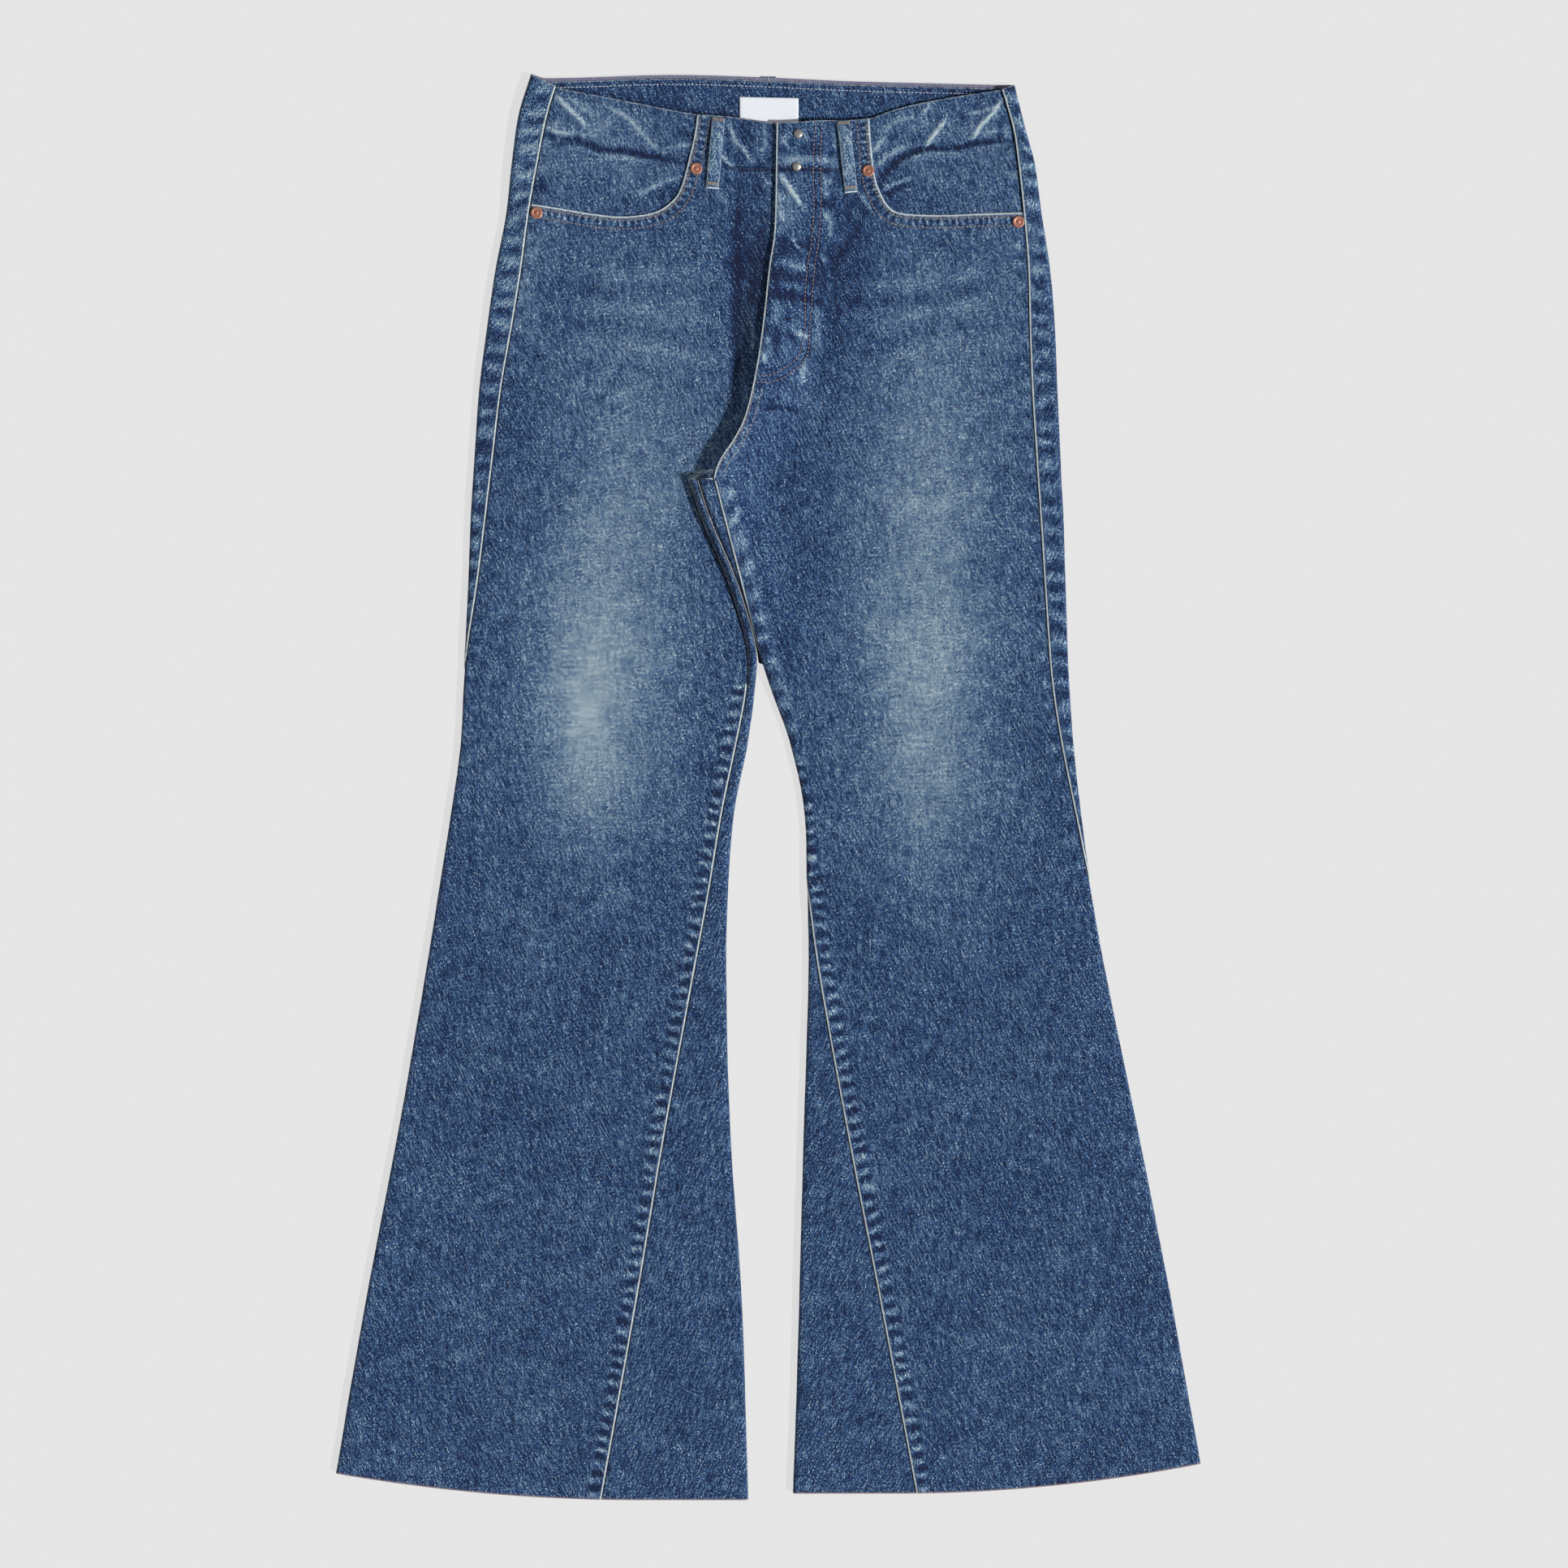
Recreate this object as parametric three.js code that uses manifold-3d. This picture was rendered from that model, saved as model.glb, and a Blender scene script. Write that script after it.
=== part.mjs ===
// Flared jeans laid flat on their back, front side up, built at real size in millimetres.
// X runs across the garment towards the wearer's left, Y from the hems up to the waist, and Z up from the
// surface. Every leg is a flattened tube: the back panel lies below, wraps round the side of the leg and
// shows on top as a strip beside each seam, and the front panel lies on it.
import * as THREE from "three";
import { mergeVertices } from "three/addons/utils/BufferGeometryUtils.js";
import Module from "manifold-3d";

const wasm = await Module();
wasm.setup();

// Driving dimensions
const CLOTH = 1.0; // heavy denim, one layer
const SEAM_GAP = 0.3; // between pieces that are sewn together
const LAY = 5.8; // thickness of a leg as it lies: two layers and the air between them
const FOLD_RADIUS = LAY / 2;
const QUARTER_FOLD = (FOLD_RADIUS * Math.PI) / 2; // cloth from the side of the leg to its flat
const STEP_DOWN = CLOTH + SEAM_GAP; // how much lower a piece lies under a lapped edge
const LAP = 5; // the wearer's right front goes this far under the left one
const CROTCH_Y = 239;
const WAIST_ZONE_Y = 500; // above this the rows of cloth bend to follow the waist edge
const HEM_ZONE_Y = -470; // below this they bend to follow the hem
const TOP_Y = 555;
const HEM_Y = -554;
const WAIST_BULK = 1.6; // the waist lies this much thicker than the legs
const BACK_LOOP_LIFT = STEP_DOWN; // the back waist lies on its belt loops
const POCKET_FACING_LAP = 12; // the pocket facing reaches this far under the mouth

// Each leg by sections. outer and inner are the X of its two sides. outseam and inseam say how far in from that
// side the seam lies: positive on top, negative underneath. Above the crotch there is no inner side.
const RIGHT_LEG = [
  { y: 555, outer: -184, outseam: 22.8 },
  { y: 523, outer: -194, outseam: 22.8 },
  { y: 485, outer: -199.5, outseam: 20.5 },
  { y: 445, outer: -204, outseam: 17.8 },
  { y: 403, outer: -212, outseam: 20.2 },
  { y: 359, outer: -218.5, outseam: 19.6 },
  { y: 309, outer: -225, outseam: 17.4 },
  { y: 258, outer: -228.5, outseam: 14.8 },
  { y: 239, outer: -229.7, outseam: 13.7, inner: -55.4, inseam: 7 },
  { y: 208, outer: -231.5, outseam: 11.8, inner: -45.3, inseam: 7 },
  { y: 158, outer: -233.5, outseam: 7.5, inner: -24.4, inseam: 7 },
  { y: 107, outer: -235.5, outseam: 1.5, inner: -9.8, inseam: 7 },
  { y: 76, outer: -237, outseam: -1.5, inner: -10.5, inseam: 6.6 },
  { y: 32, outer: -239.5, outseam: -6, inner: -16.5, inseam: 8.7 },
  { y: -19, outer: -246.5, outseam: -13, inner: -26.5, inseam: 9.3 },
  { y: -82, outer: -256.5, outseam: -23, inner: -31.5, inseam: 14.8 },
  { y: -145, outer: -266.5, outseam: -32, inner: -32.8, inseam: 25.1 },
  { y: -271, outer: -288.5, outseam: -49, inner: -29.6, inseam: 51.3 },
  { y: -397, outer: -312.5, outseam: -64, inner: -20.8, inseam: 81.2 },
  { y: -554, outer: -339.7, outseam: -80, inner: -15.8, inseam: 114.2 },
];
const LEFT_LEG = [
  { y: 555, outer: 188, outseam: 11.4 },
  { y: 540, outer: 192.2, outseam: 10.8 },
  { y: 510, outer: 199.7, outseam: 9.8 },
  { y: 485, outer: 206.6, outseam: 13 },
  { y: 445, outer: 212.3, outseam: 14.2 },
  { y: 403, outer: 218.6, outseam: 17.1 },
  { y: 359, outer: 222.4, outseam: 19.8 },
  { y: 309, outer: 224.5, outseam: 20 },
  { y: 258, outer: 226.8, outseam: 19.1 },
  { y: 239, outer: 227.5, outseam: 18.6, inner: -54.8, inseam: 12.5 },
  { y: 208, outer: 229.3, outseam: 18.2, inner: -44.7, inseam: 10.4 },
  { y: 158, outer: 230.8, outseam: 16.5, inner: -23.8, inseam: 2.6 },
  { y: 107, outer: 232.5, outseam: 14.8, inner: -8, inseam: 0 },
  { y: 76, outer: 234, outseam: 13.4, inner: 2.2, inseam: -1 },
  { y: 32, outer: 237, outseam: 9.4, inner: 17.6, inseam: -2 },
  { y: -19, outer: 242.5, outseam: 4.6, inner: 28, inseam: -1.5 },
  { y: -82, outer: 250.8, outseam: -1, inner: 30.2, inseam: 0.5 },
  { y: -145, outer: 262, outseam: -10, inner: 30.9, inseam: 8.1 },
  { y: -271, outer: 287.9, outseam: -31, inner: 27.1, inseam: 34.6 },
  { y: -397, outer: 312.5, outseam: -50, inner: 23.9, inseam: 62.3 },
  { y: -554, outer: 340.8, outseam: -66, inner: 18.9, inseam: 97 },
];
// The centre front: the fly edge and the seat seam below it, and how far the cloth stands up there.
const CENTRE_FRONT = [
  { y: 555, x: 6.6, lift: 1.6 },
  { y: 485, x: 5.7, lift: 2 },
  { y: 430, x: 4.3, lift: 3.5 },
  { y: 403, x: 0.3, lift: 6 },
  { y: 359, x: -4.5, lift: 9.5 },
  { y: 323, x: -9.8, lift: 11.5 },
  { y: 287, x: -18.3, lift: 12.5 },
  { y: 269, x: -27.1, lift: 12.8 },
  { y: 254, x: -37.2, lift: 12.6 },
  { y: 239, x: -42.3, lift: 12 },
  { y: 208, x: -42.3, lift: 10.2 },
  { y: 158, x: -42.3, lift: 7 },
  { y: 107, x: -42.3, lift: 3 },
  { y: 76, x: -42.3, lift: 1 },
  { y: 45, x: -42.3, lift: 0 },
  { y: -554, x: -42.3, lift: 0 },
];
// The roll of back cloth that stands up at the wearer's right inner thigh.
const THIGH_ROLL = [
  { y: 239, lift: 10 },
  { y: 208, lift: 8.7 },
  { y: 158, lift: 6.6 },
  { y: 107, lift: 3.5 },
  { y: 76, lift: 1 },
  { y: 45, lift: 0 },
  { y: -554, lift: 0 },
];
const CENTRE_BACK = [
  { y: 555, x: -0.6 },
  { y: 420, x: -3 },
  { y: 359, x: -7.5 },
  { y: 309, x: -16 },
  { y: 270, x: -31 },
  { y: 239, x: -55.1 },
];
const FRONT_WAIST = [
  { x: -195, y: 548 },
  { x: -163, y: 542.3 },
  { x: -96, y: 529.4 },
  { x: -58, y: 522.2 },
  { x: -30, y: 520 },
  { x: 7, y: 515 },
  { x: 40, y: 517 },
  { x: 77, y: 518.6 },
  { x: 99, y: 526 },
  { x: 131, y: 533.2 },
  { x: 181, y: 541 },
  { x: 200, y: 543 },
];
const BACK_WAIST = [
  { x: -190, y: 550.5 },
  { x: -150, y: 551 },
  { x: -74, y: 553.2 },
  { x: 0, y: 551.2 },
  { x: 60, y: 548.4 },
  { x: 140, y: 546.3 },
  { x: 195, y: 545 },
];
// Where the waist edge of the wrapped strip ends: at the outseam and at the side of the body.
const STRIP_TOP = { right: { seam: 543.7, edge: 554 }, left: { seam: 541.2, edge: 545.5 } };
// Each hem is level from the inseam and then rises towards the outside of the leg as a parabola.
const HEM = {
  right: { level: -553.8, bendsAt: -100, rise: 20.8, over: 237 },
  left: { level: -548.7, bendsAt: 100, rise: 23.3, over: 236.5 },
};
// The pocket mouths, from the waist edge round to the outseam.
const RIGHT_MOUTH = [
  [-55, 523], [-57, 508], [-60.5, 492], [-68, 465], [-76, 453.5], [-90, 445.5],
  [-114, 442.6], [-138, 445], [-175, 451], [-186, 452.5],
];
const LEFT_MOUTH = [
  [78, 522], [79.5, 500], [82.5, 474], [87, 461], [93, 450.8], [103, 445.3],
  [131, 443.7], [163, 444.8], [201, 446],
];
const FLY = { width: 36, curveFrom: 370, bottom: 311 };
const BELT_LOOP = { length: 56, width: 10, thick: 1.2, slot: 1.4 };
const FRONT_LOOPS = [
  { name: "belt_loop_front_right", top: [-38.6, 519], foot: [-43.6, 464] },
  { name: "belt_loop_front_left", top: [58, 516.5], foot: [64.3, 461] },
];
const BACK_LOOP = { name: "belt_loop_back_centre", x: -0.6, width: 12.4 };
const RIVET = { radius: 4.7, height: 1.7 };
const RIVETS = [
  { name: "rivet_right_front", x: -56, y: 479.6 },
  { name: "rivet_right_side", x: -180, y: 445.5 },
  { name: "rivet_left_front", x: 77.4, y: 478 },
  { name: "rivet_left_side", x: 194, y: 438.6 },
];
const STUD = { radius: 3.6, height: 2.2 };
const STUDS = [
  { name: "stud_upper", x: 23.1, y: 506.1 },
  { name: "stud_lower", x: 22, y: 480.8 },
];
const FACING = { below: 6, depth: 40, right: -171, left: 183 };
const LABEL = { x: 0.5, width: 45.5, top: 535.2, depth: 27, thick: 1 };

// A smooth line through the rows of a table: cubic, with its slope at each row taken from the neighbours.
function through(rows, from, to) {
  const points = rows
    .filter((row) => row[to] !== undefined)
    .map((row) => [row[from], row[to]])
    .sort((a, b) => a[0] - b[0]);
  const slope = points.map((p, k) => {
    const before = points[Math.max(k - 1, 0)];
    const after = points[Math.min(k + 1, points.length - 1)];
    return (after[1] - before[1]) / (after[0] - before[0]);
  });
  return (at) => {
    let k = 0;
    while (k < points.length - 2 && at > points[k + 1][0]) k++;
    const [a, b] = [points[k], points[k + 1]];
    const span = b[0] - a[0];
    const t = THREE.MathUtils.clamp((at - a[0]) / span, 0, 1);
    const u = 1 - t;
    return (
      a[1] * u * u * (1 + 2 * t) + b[1] * t * t * (3 - 2 * t) + span * t * u * (slope[k] * u - slope[k + 1] * t)
    );
  };
}

// 1 at zero, easing to 0 at `width`.
function fading(distance, width) {
  const t = THREE.MathUtils.clamp(distance / width, 0, 1);
  return (1 - t) * (1 - t) * (1 + 2 * t);
}

function evenly(from, to, count) {
  return Array.from({ length: count + 1 }, (_, k) => from + ((to - from) * k) / count);
}

const centreFront = through(CENTRE_FRONT, "y", "x");
const centreLift = through(CENTRE_FRONT, "y", "lift");
const centreBack = through(CENTRE_BACK, "y", "x");
const rollLift = through(THIGH_ROLL, "y", "lift");
const frontWaist = through(FRONT_WAIST, "x", "y");
const backWaist = through(BACK_WAIST, "x", "y");

function legOf(name, rows, inwards) {
  return {
    name,
    inwards, // +1 where the inner side is towards +X
    outer: through(rows, "y", "outer"),
    inner: through(rows, "y", "inner"),
    outseam: through(rows, "y", "outseam"),
    inseam: through(rows, "y", "inseam"),
  };
}
const rightLeg = legOf("right", RIGHT_LEG, 1);
const leftLeg = legOf("left", LEFT_LEG, -1);

// The waist and the sides near it are a little thicker, and the back waist lies on its loops.
const waistBulk = (y) => WAIST_BULK * fading(485 - y, 60);
const backLift = (y) => BACK_LOOP_LIFT * fading(488 - y, 90);

// Cloth over a side of the leg for a place that lies `inset` in from it, round the fold.
function overCloth(inset) {
  const size = Math.abs(inset);
  const over =
    size > FOLD_RADIUS ? size - FOLD_RADIUS + QUARTER_FOLD : FOLD_RADIUS * Math.acos(1 - size / FOLD_RADIUS);
  return Math.sign(inset) * over;
}

// How far the front cloth stands above LAY near the centre: a gentle slope on the wearer's left front, which
// laps over, and a steep one on the right front, which goes under it.
const LEFT_SLOPE = 52;
const RIGHT_SLOPE = 19;
function frontTop(leg, x, y) {
  const bulk = LAY + waistBulk(y);
  if (leg === leftLeg) {
    const edge = y > CROTCH_Y ? centreFront(y) : leg.inner(y) + Math.max(leg.inseam(y), 0);
    return bulk + centreLift(y) * fading(x - edge, LEFT_SLOPE);
  }
  if (y <= CROTCH_Y) return bulk;
  const edge = centreFront(y);
  if (x > edge) return bulk + centreLift(y) * fading(x - edge, LEFT_SLOPE) - STEP_DOWN;
  return bulk + (centreLift(y) - STEP_DOWN) * fading(edge - x, RIGHT_SLOPE);
}

// How high the back cloth on the inner side of a leg stands above LAY.
const innerLift = (leg, y) => (leg === rightLeg ? rollLift(y) : centreLift(y));

const belowCrotch = (y) => y <= CROTCH_Y;
const widthAt = (leg, y) => Math.abs(leg.inner(y) - leg.outer(y));

// Cloth over the top of the leg, from its outer side to its inner side.
const topLength = (leg, y) => widthAt(leg, y) - 2 * FOLD_RADIUS + 2 * QUARTER_FOLD;

// The section of a leg at height y, by the distance `along` over the cloth from the outer side: positive over
// the top, negative underneath. `strip` is true for the back cloth that has wrapped round the inner side.
function sectionPoint(leg, along, y, strip = false) {
  const toX = (inset) => leg.outer(y) + leg.inwards * inset;
  const lowered = (z) => z + backLift(y) * Math.max(0, 1 - z / LAY);
  const top = belowCrotch(y) ? topLength(leg, y) : Infinity;
  const fromInner = top - along;
  if (Math.abs(along) <= QUARTER_FOLD) {
    const turn = along / FOLD_RADIUS;
    const half = (LAY + (along > 0 ? waistBulk(y) : 0)) / 2;
    const z = along > 0 ? FOLD_RADIUS + (2 * half - FOLD_RADIUS) * Math.sin(turn) : FOLD_RADIUS * (1 + Math.sin(turn));
    return [toX(FOLD_RADIUS * (1 - Math.cos(turn))), lowered(z)];
  }
  const under = Math.abs(along) - QUARTER_FOLD + FOLD_RADIUS;
  if (along < 0) return [toX(under), lowered(0)];
  const lift = innerLift(leg, y);
  const height = LAY + lift;
  const reach = leg.inseam(y);
  const width = widthAt(leg, y);
  if (Math.abs(fromInner) <= QUARTER_FOLD) {
    const turn = fromInner / FOLD_RADIUS;
    return [toX(width - FOLD_RADIUS * (1 - Math.cos(turn))), (height / 2) * (1 + Math.sin(turn))];
  }
  if (fromInner < 0) return [toX(width - FOLD_RADIUS - (-fromInner - QUARTER_FOLD)), 0];
  if (!strip) return [toX(under), frontTop(leg, toX(under), y)];
  const fall = leg === rightLeg ? (overCloth(reach) - fromInner) / FOLD_RADIUS : Math.PI / 2;
  return [toX(under), LAY + lift * Math.sin(THREE.MathUtils.clamp(fall, 0, Math.PI / 2))];
}

// The same point moved into the cloth by `depth`, square to the section.
function sectionInside(leg, along, y, strip, depth) {
  const STEP = 0.4;
  const [x0, z0] = sectionPoint(leg, along - STEP, y, strip);
  const [x1, z1] = sectionPoint(leg, along + STEP, y, strip);
  const [x, z] = sectionPoint(leg, along, y, strip);
  const long = Math.hypot(x1 - x0, z1 - z0);
  return [x + (leg.inwards * depth * (z1 - z0)) / long, z - (leg.inwards * depth * (x1 - x0)) / long];
}

// Bends the rows near the waist and the hem, so that the last one follows that edge.
function bent(leg, back, along, x, y) {
  if (y > WAIST_ZONE_Y) {
    let edge = frontWaist(x);
    if (back) {
      const { seam, edge: side } = STRIP_TOP[leg.name];
      const on = THREE.MathUtils.clamp(along / overCloth(leg.outseam(y)), 0, 1);
      edge = along > 0 ? side + (seam - side) * on : side + (backWaist(x) - side) * (1 - fading(-along, 14));
    }
    return WAIST_ZONE_Y + ((y - WAIST_ZONE_Y) / (TOP_Y - WAIST_ZONE_Y)) * (edge - WAIST_ZONE_Y);
  }
  if (y < HEM_ZONE_Y) {
    const { level, bendsAt, rise, over } = HEM[leg.name];
    const edge = level + rise * (Math.max(0, Math.abs(x) - Math.abs(bendsAt)) / over) ** 2;
    return HEM_ZONE_Y + ((y - HEM_ZONE_Y) / (HEM_Y - HEM_ZONE_Y)) * (edge - HEM_ZONE_Y);
  }
  return y;
}

// Settles a point whose height depends on its place across: stations are functions of the height.
function placed(leg, back, station, nominal, strip, depth) {
  const SETTLES_IN = 4;
  let y = nominal;
  for (let k = 0; k < SETTLES_IN; k++) {
    y = bent(leg, back, station(y), sectionPoint(leg, station(y), y, strip)[0], nominal);
  }
  const [x, z] = depth ? sectionInside(leg, station(y), y, strip, depth) : sectionPoint(leg, station(y), y, strip);
  return new THREE.Vector3(x, y, z);
}

// A closed wall from a grid of outer points and the matching inner ones. Cells where keep is false are left out.
function wallFromGrid(outer, inner, keep = () => true) {
  const [rows, columns] = [outer.length, outer[0].length];
  const at = (layer, i, j) => (layer * rows + i) * columns + j;
  const has = (i, j) => i >= 0 && j >= 0 && i < rows - 1 && j < columns - 1 && keep(i, j);
  const corners = [];
  const quad = (a, b, c, d) => corners.push(a, b, c, a, c, d);
  for (let i = 0; i < rows - 1; i++) {
    for (let j = 0; j < columns - 1; j++) {
      if (!has(i, j)) continue;
      quad(at(0, i, j), at(0, i, j + 1), at(0, i + 1, j + 1), at(0, i + 1, j));
      quad(at(1, i, j), at(1, i + 1, j), at(1, i + 1, j + 1), at(1, i, j + 1));
      if (!has(i, j - 1)) quad(at(0, i, j), at(0, i + 1, j), at(1, i + 1, j), at(1, i, j));
      if (!has(i, j + 1)) quad(at(0, i + 1, j + 1), at(0, i, j + 1), at(1, i, j + 1), at(1, i + 1, j + 1));
      if (!has(i - 1, j)) quad(at(0, i, j + 1), at(0, i, j), at(1, i, j), at(1, i, j + 1));
      if (!has(i + 1, j)) quad(at(0, i + 1, j), at(0, i + 1, j + 1), at(1, i + 1, j + 1), at(1, i + 1, j));
    }
  }
  const points = [...outer, ...inner].flat().flatMap((p) => [p.x, p.y, p.z]);
  return facingOut(points, corners);
}

// Merges equal points, drops the triangles that this collapses, and turns the faces outwards.
function facingOut(points, corners) {
  const MERGE_MM = 1e-3;
  const loose = new THREE.BufferGeometry();
  loose.setAttribute("position", new THREE.Float32BufferAttribute(points, 3));
  loose.setIndex(corners);
  const merged = mergeVertices(loose, MERGE_MM);
  const place = merged.getAttribute("position");
  const kept = [];
  let volume = 0;
  const [a, b, c] = [new THREE.Vector3(), new THREE.Vector3(), new THREE.Vector3()];
  for (let k = 0; k < merged.index.count; k += 3) {
    const face = [0, 1, 2].map((n) => merged.index.getX(k + n));
    if (new Set(face).size < 3) continue;
    [a, b, c].forEach((v, n) => v.fromBufferAttribute(place, face[n]));
    volume += a.dot(b.cross(c));
    kept.push(face);
  }
  merged.setIndex(kept.flatMap(([p, q, r]) => (volume > 0 ? [p, q, r] : [p, r, q])));
  return merged;
}

function toSolid(geometry) {
  const bare = geometry.clone();
  bare.deleteAttribute("normal");
  bare.deleteAttribute("uv");
  const merged = mergeVertices(bare, 1e-3);
  return new wasm.Manifold(
    new wasm.Mesh({
      numProp: 3,
      vertProperties: new Float32Array(merged.getAttribute("position").array),
      triVerts: new Uint32Array(merged.index.array),
    }),
  );
}

function toGeometry(solid) {
  const mesh = solid.getMesh();
  const geometry = new THREE.BufferGeometry();
  geometry.setAttribute("position", new THREE.BufferAttribute(mesh.vertProperties, 3));
  geometry.setIndex(new THREE.BufferAttribute(mesh.triVerts, 1));
  return geometry;
}

// An upright prism over a flat outline, tall enough to cut through every layer.
function prismOver(outline) {
  const [LOWEST, TALL] = [-5, 45];
  const shape = new THREE.Shape(outline.map(([x, y]) => new THREE.Vector2(x, y)));
  const geometry = new THREE.ExtrudeGeometry(shape, { depth: TALL, bevelEnabled: false });
  geometry.translate(0, 0, LOWEST);
  return toSolid(geometry);
}

// The rows of cloth that the panels share, closer together where the cloth stands up at the crotch.
const LEG_ROWS = [...evenly(HEM_Y, 44, 19), ...evenly(64, CROTCH_Y - SEAM_GAP, 9)];
const BODY_ROWS = [...evenly(CROTCH_Y + SEAM_GAP, 300, 5), ...evenly(324, 492, 7), 510, 530, TOP_Y];

const FOLD_STATIONS = [-1, -0.5, 0, 0.5, 1].map((share) => share * QUARTER_FOLD);

// Stations between a first and a last one, each kept a hair's breadth from its neighbours, so that a station
// that lies past the cloth's edge leaves a narrow cell there and never an empty one.
function spacedOut(first, last, between) {
  const HAIR = 0.06;
  const held = between.map((station, k) => (y) => {
    const [least, most] = [first(y) + (k + 1) * HAIR, last(y) - (between.length - k) * HAIR];
    return THREE.MathUtils.clamp(station(y), least, most);
  });
  return [first, ...held, last];
}

// Stations across a front panel, each a function of the height: under the side, round it and over the top, and
// closer together beside the inner edge. The last ones of the right front are the slope beside the fly and the
// lap under the left front, which only the body has.
function frontStations(leg) {
  const fromOuter = (x, y) => overCloth(Math.abs(x - leg.outer(y)));
  const start = (y) => overCloth(leg.outseam(y) + SEAM_GAP / 2);
  const end = (y) => {
    if (belowCrotch(y)) return topLength(leg, y) - overCloth(leg.inseam(y) + SEAM_GAP / 2);
    return fromOuter(centreFront(y) - (leg === rightLeg ? RIGHT_SLOPE : 0) + (leg.inwards * -SEAM_GAP) / 2, y);
  };
  const NEAR_EDGE = 24;
  const main = spacedOut(start, end, [
    (y) => start(y) / 2,
    ...FOLD_STATIONS.map((along) => () => along),
    ...[0.3, 0.55, 0.8].map((share) => (y) => QUARTER_FOLD + share * (end(y) - QUARTER_FOLD - NEAR_EDGE)),
    ...[NEAR_EDGE, 15, 9, 5.5, 2.5].map((away) => (y) => end(y) - away),
  ]);
  const beside = leg === leftLeg ? [] : [-12.5, -6, 0, LAP].map((x) => (y) => fromOuter(centreFront(y) + x, y));
  return { stations: [...main, ...beside], common: main.length - 1 };
}

function frontWall(leg, rows, sink = 0) {
  const { stations, common } = frontStations(leg);
  const grid = (depth) => rows.map((y) => stations.map((station) => placed(leg, false, station, y, false, depth)));
  return wallFromGrid(grid(sink), grid(sink + CLOTH), (i, j) => j < common || rows[i] > CROTCH_Y);
}

// A smooth mouth line as points, extended past both of its ends by `past`.
function mouthLine(mouth, past) {
  const MOUTH_STEPS = 26;
  const curve = new THREE.SplineCurve(mouth.map(([x, y]) => new THREE.Vector2(x, y)));
  const line = curve.getPoints(MOUTH_STEPS).map((p) => [p.x, p.y]);
  const outwards = Math.sign(mouth.at(-1)[0]);
  return [[line[0][0], line[0][1] + past], ...line, [line.at(-1)[0] + outwards * past, line.at(-1)[1]]];
}

// The scoop that a pocket mouth cuts out of the front panel, or a wider one for the facing behind it.
function scoopOutline(mouth, wider) {
  const PAST = 40;
  const line = mouthLine(mouth, PAST);
  const outwards = Math.sign(mouth.at(-1)[0]);
  const moved = line.map(([x, y], k) => {
    const before = line[Math.max(k - 1, 0)];
    const after = line[Math.min(k + 1, line.length - 1)];
    const [dx, dy] = [after[0] - before[0], after[1] - before[1]];
    const long = Math.hypot(dx, dy);
    return [x + (outwards * wider * dy) / long, y - (outwards * wider * dx) / long];
  });
  const corner = [moved.at(-1)[0], moved[0][1]];
  const outline = [...moved, corner];
  return THREE.ShapeUtils.area(outline.map(([x, y]) => ({ x, y }))) > 0 ? outline : outline.reverse();
}

function frontPanel(leg, mouth) {
  const whole = frontWall(leg, [...LEG_ROWS, ...BODY_ROWS]);
  return toGeometry(toSolid(whole).subtract(prismOver(scoopOutline(mouth, 0))));
}

function pocketFacing(leg, mouth) {
  const behind = frontWall(leg, [420, ...BODY_ROWS.filter((y) => y > 430)], STEP_DOWN);
  return toGeometry(toSolid(behind).intersect(prismOver(scoopOutline(mouth, POCKET_FACING_LAP))));
}

// A back panel: the strip beside the outseam, the side fold, the underside, and below the crotch also the
// inner fold and the strip beside the inseam.
function backPanel(leg) {
  const rows = [...LEG_ROWS, ...BODY_ROWS];
  const start = (y) => overCloth(leg.outseam(y) - SEAM_GAP / 2);
  const lastUnder = (y) =>
    belowCrotch(y)
      ? QUARTER_FOLD - topLength(leg, y)
      : -overCloth(Math.abs(centreBack(y) - leg.outer(y)) - SEAM_GAP / 2);
  const under = spacedOut(lastUnder, start, [
    (y) => lastUnder(y) * 0.8,
    (y) => lastUnder(y) * 0.45,
    ...FOLD_STATIONS.map((along) => () => along),
    (y) => (start(y) + QUARTER_FOLD) / 2,
  ]).toReversed();
  // These go on round the inner side of the leg and count from there.
  const reach = (y) => overCloth(leg.inseam(y) - SEAM_GAP / 2);
  const round = [-0.5, 0, 0.5, 1].map((share) => () => share * QUARTER_FOLD);
  const over = [0.55, 0.75].map((share) => (y) => Math.max(QUARTER_FOLD, reach(y) * share));
  const wrapped = spacedOut(() => -QUARTER_FOLD, reach, [...round, ...over])
    .slice(1)
    .map((away) => (y) => topLength(leg, y) - away(y));
  const grid = (depth) =>
    rows.map((y) => [
      ...under.map((station) => placed(leg, true, station, y, false, depth)),
      ...wrapped.map((station) =>
        belowCrotch(y) ? placed(leg, true, station, y, true, depth) : placed(leg, true, lastUnder, y, false, depth),
      ),
    ]);
  const keep = (i, j) => j < under.length - 1 || rows[i + 1] <= CROTCH_Y;
  return wallFromGrid(grid(0), grid(CLOTH), keep);
}

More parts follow.
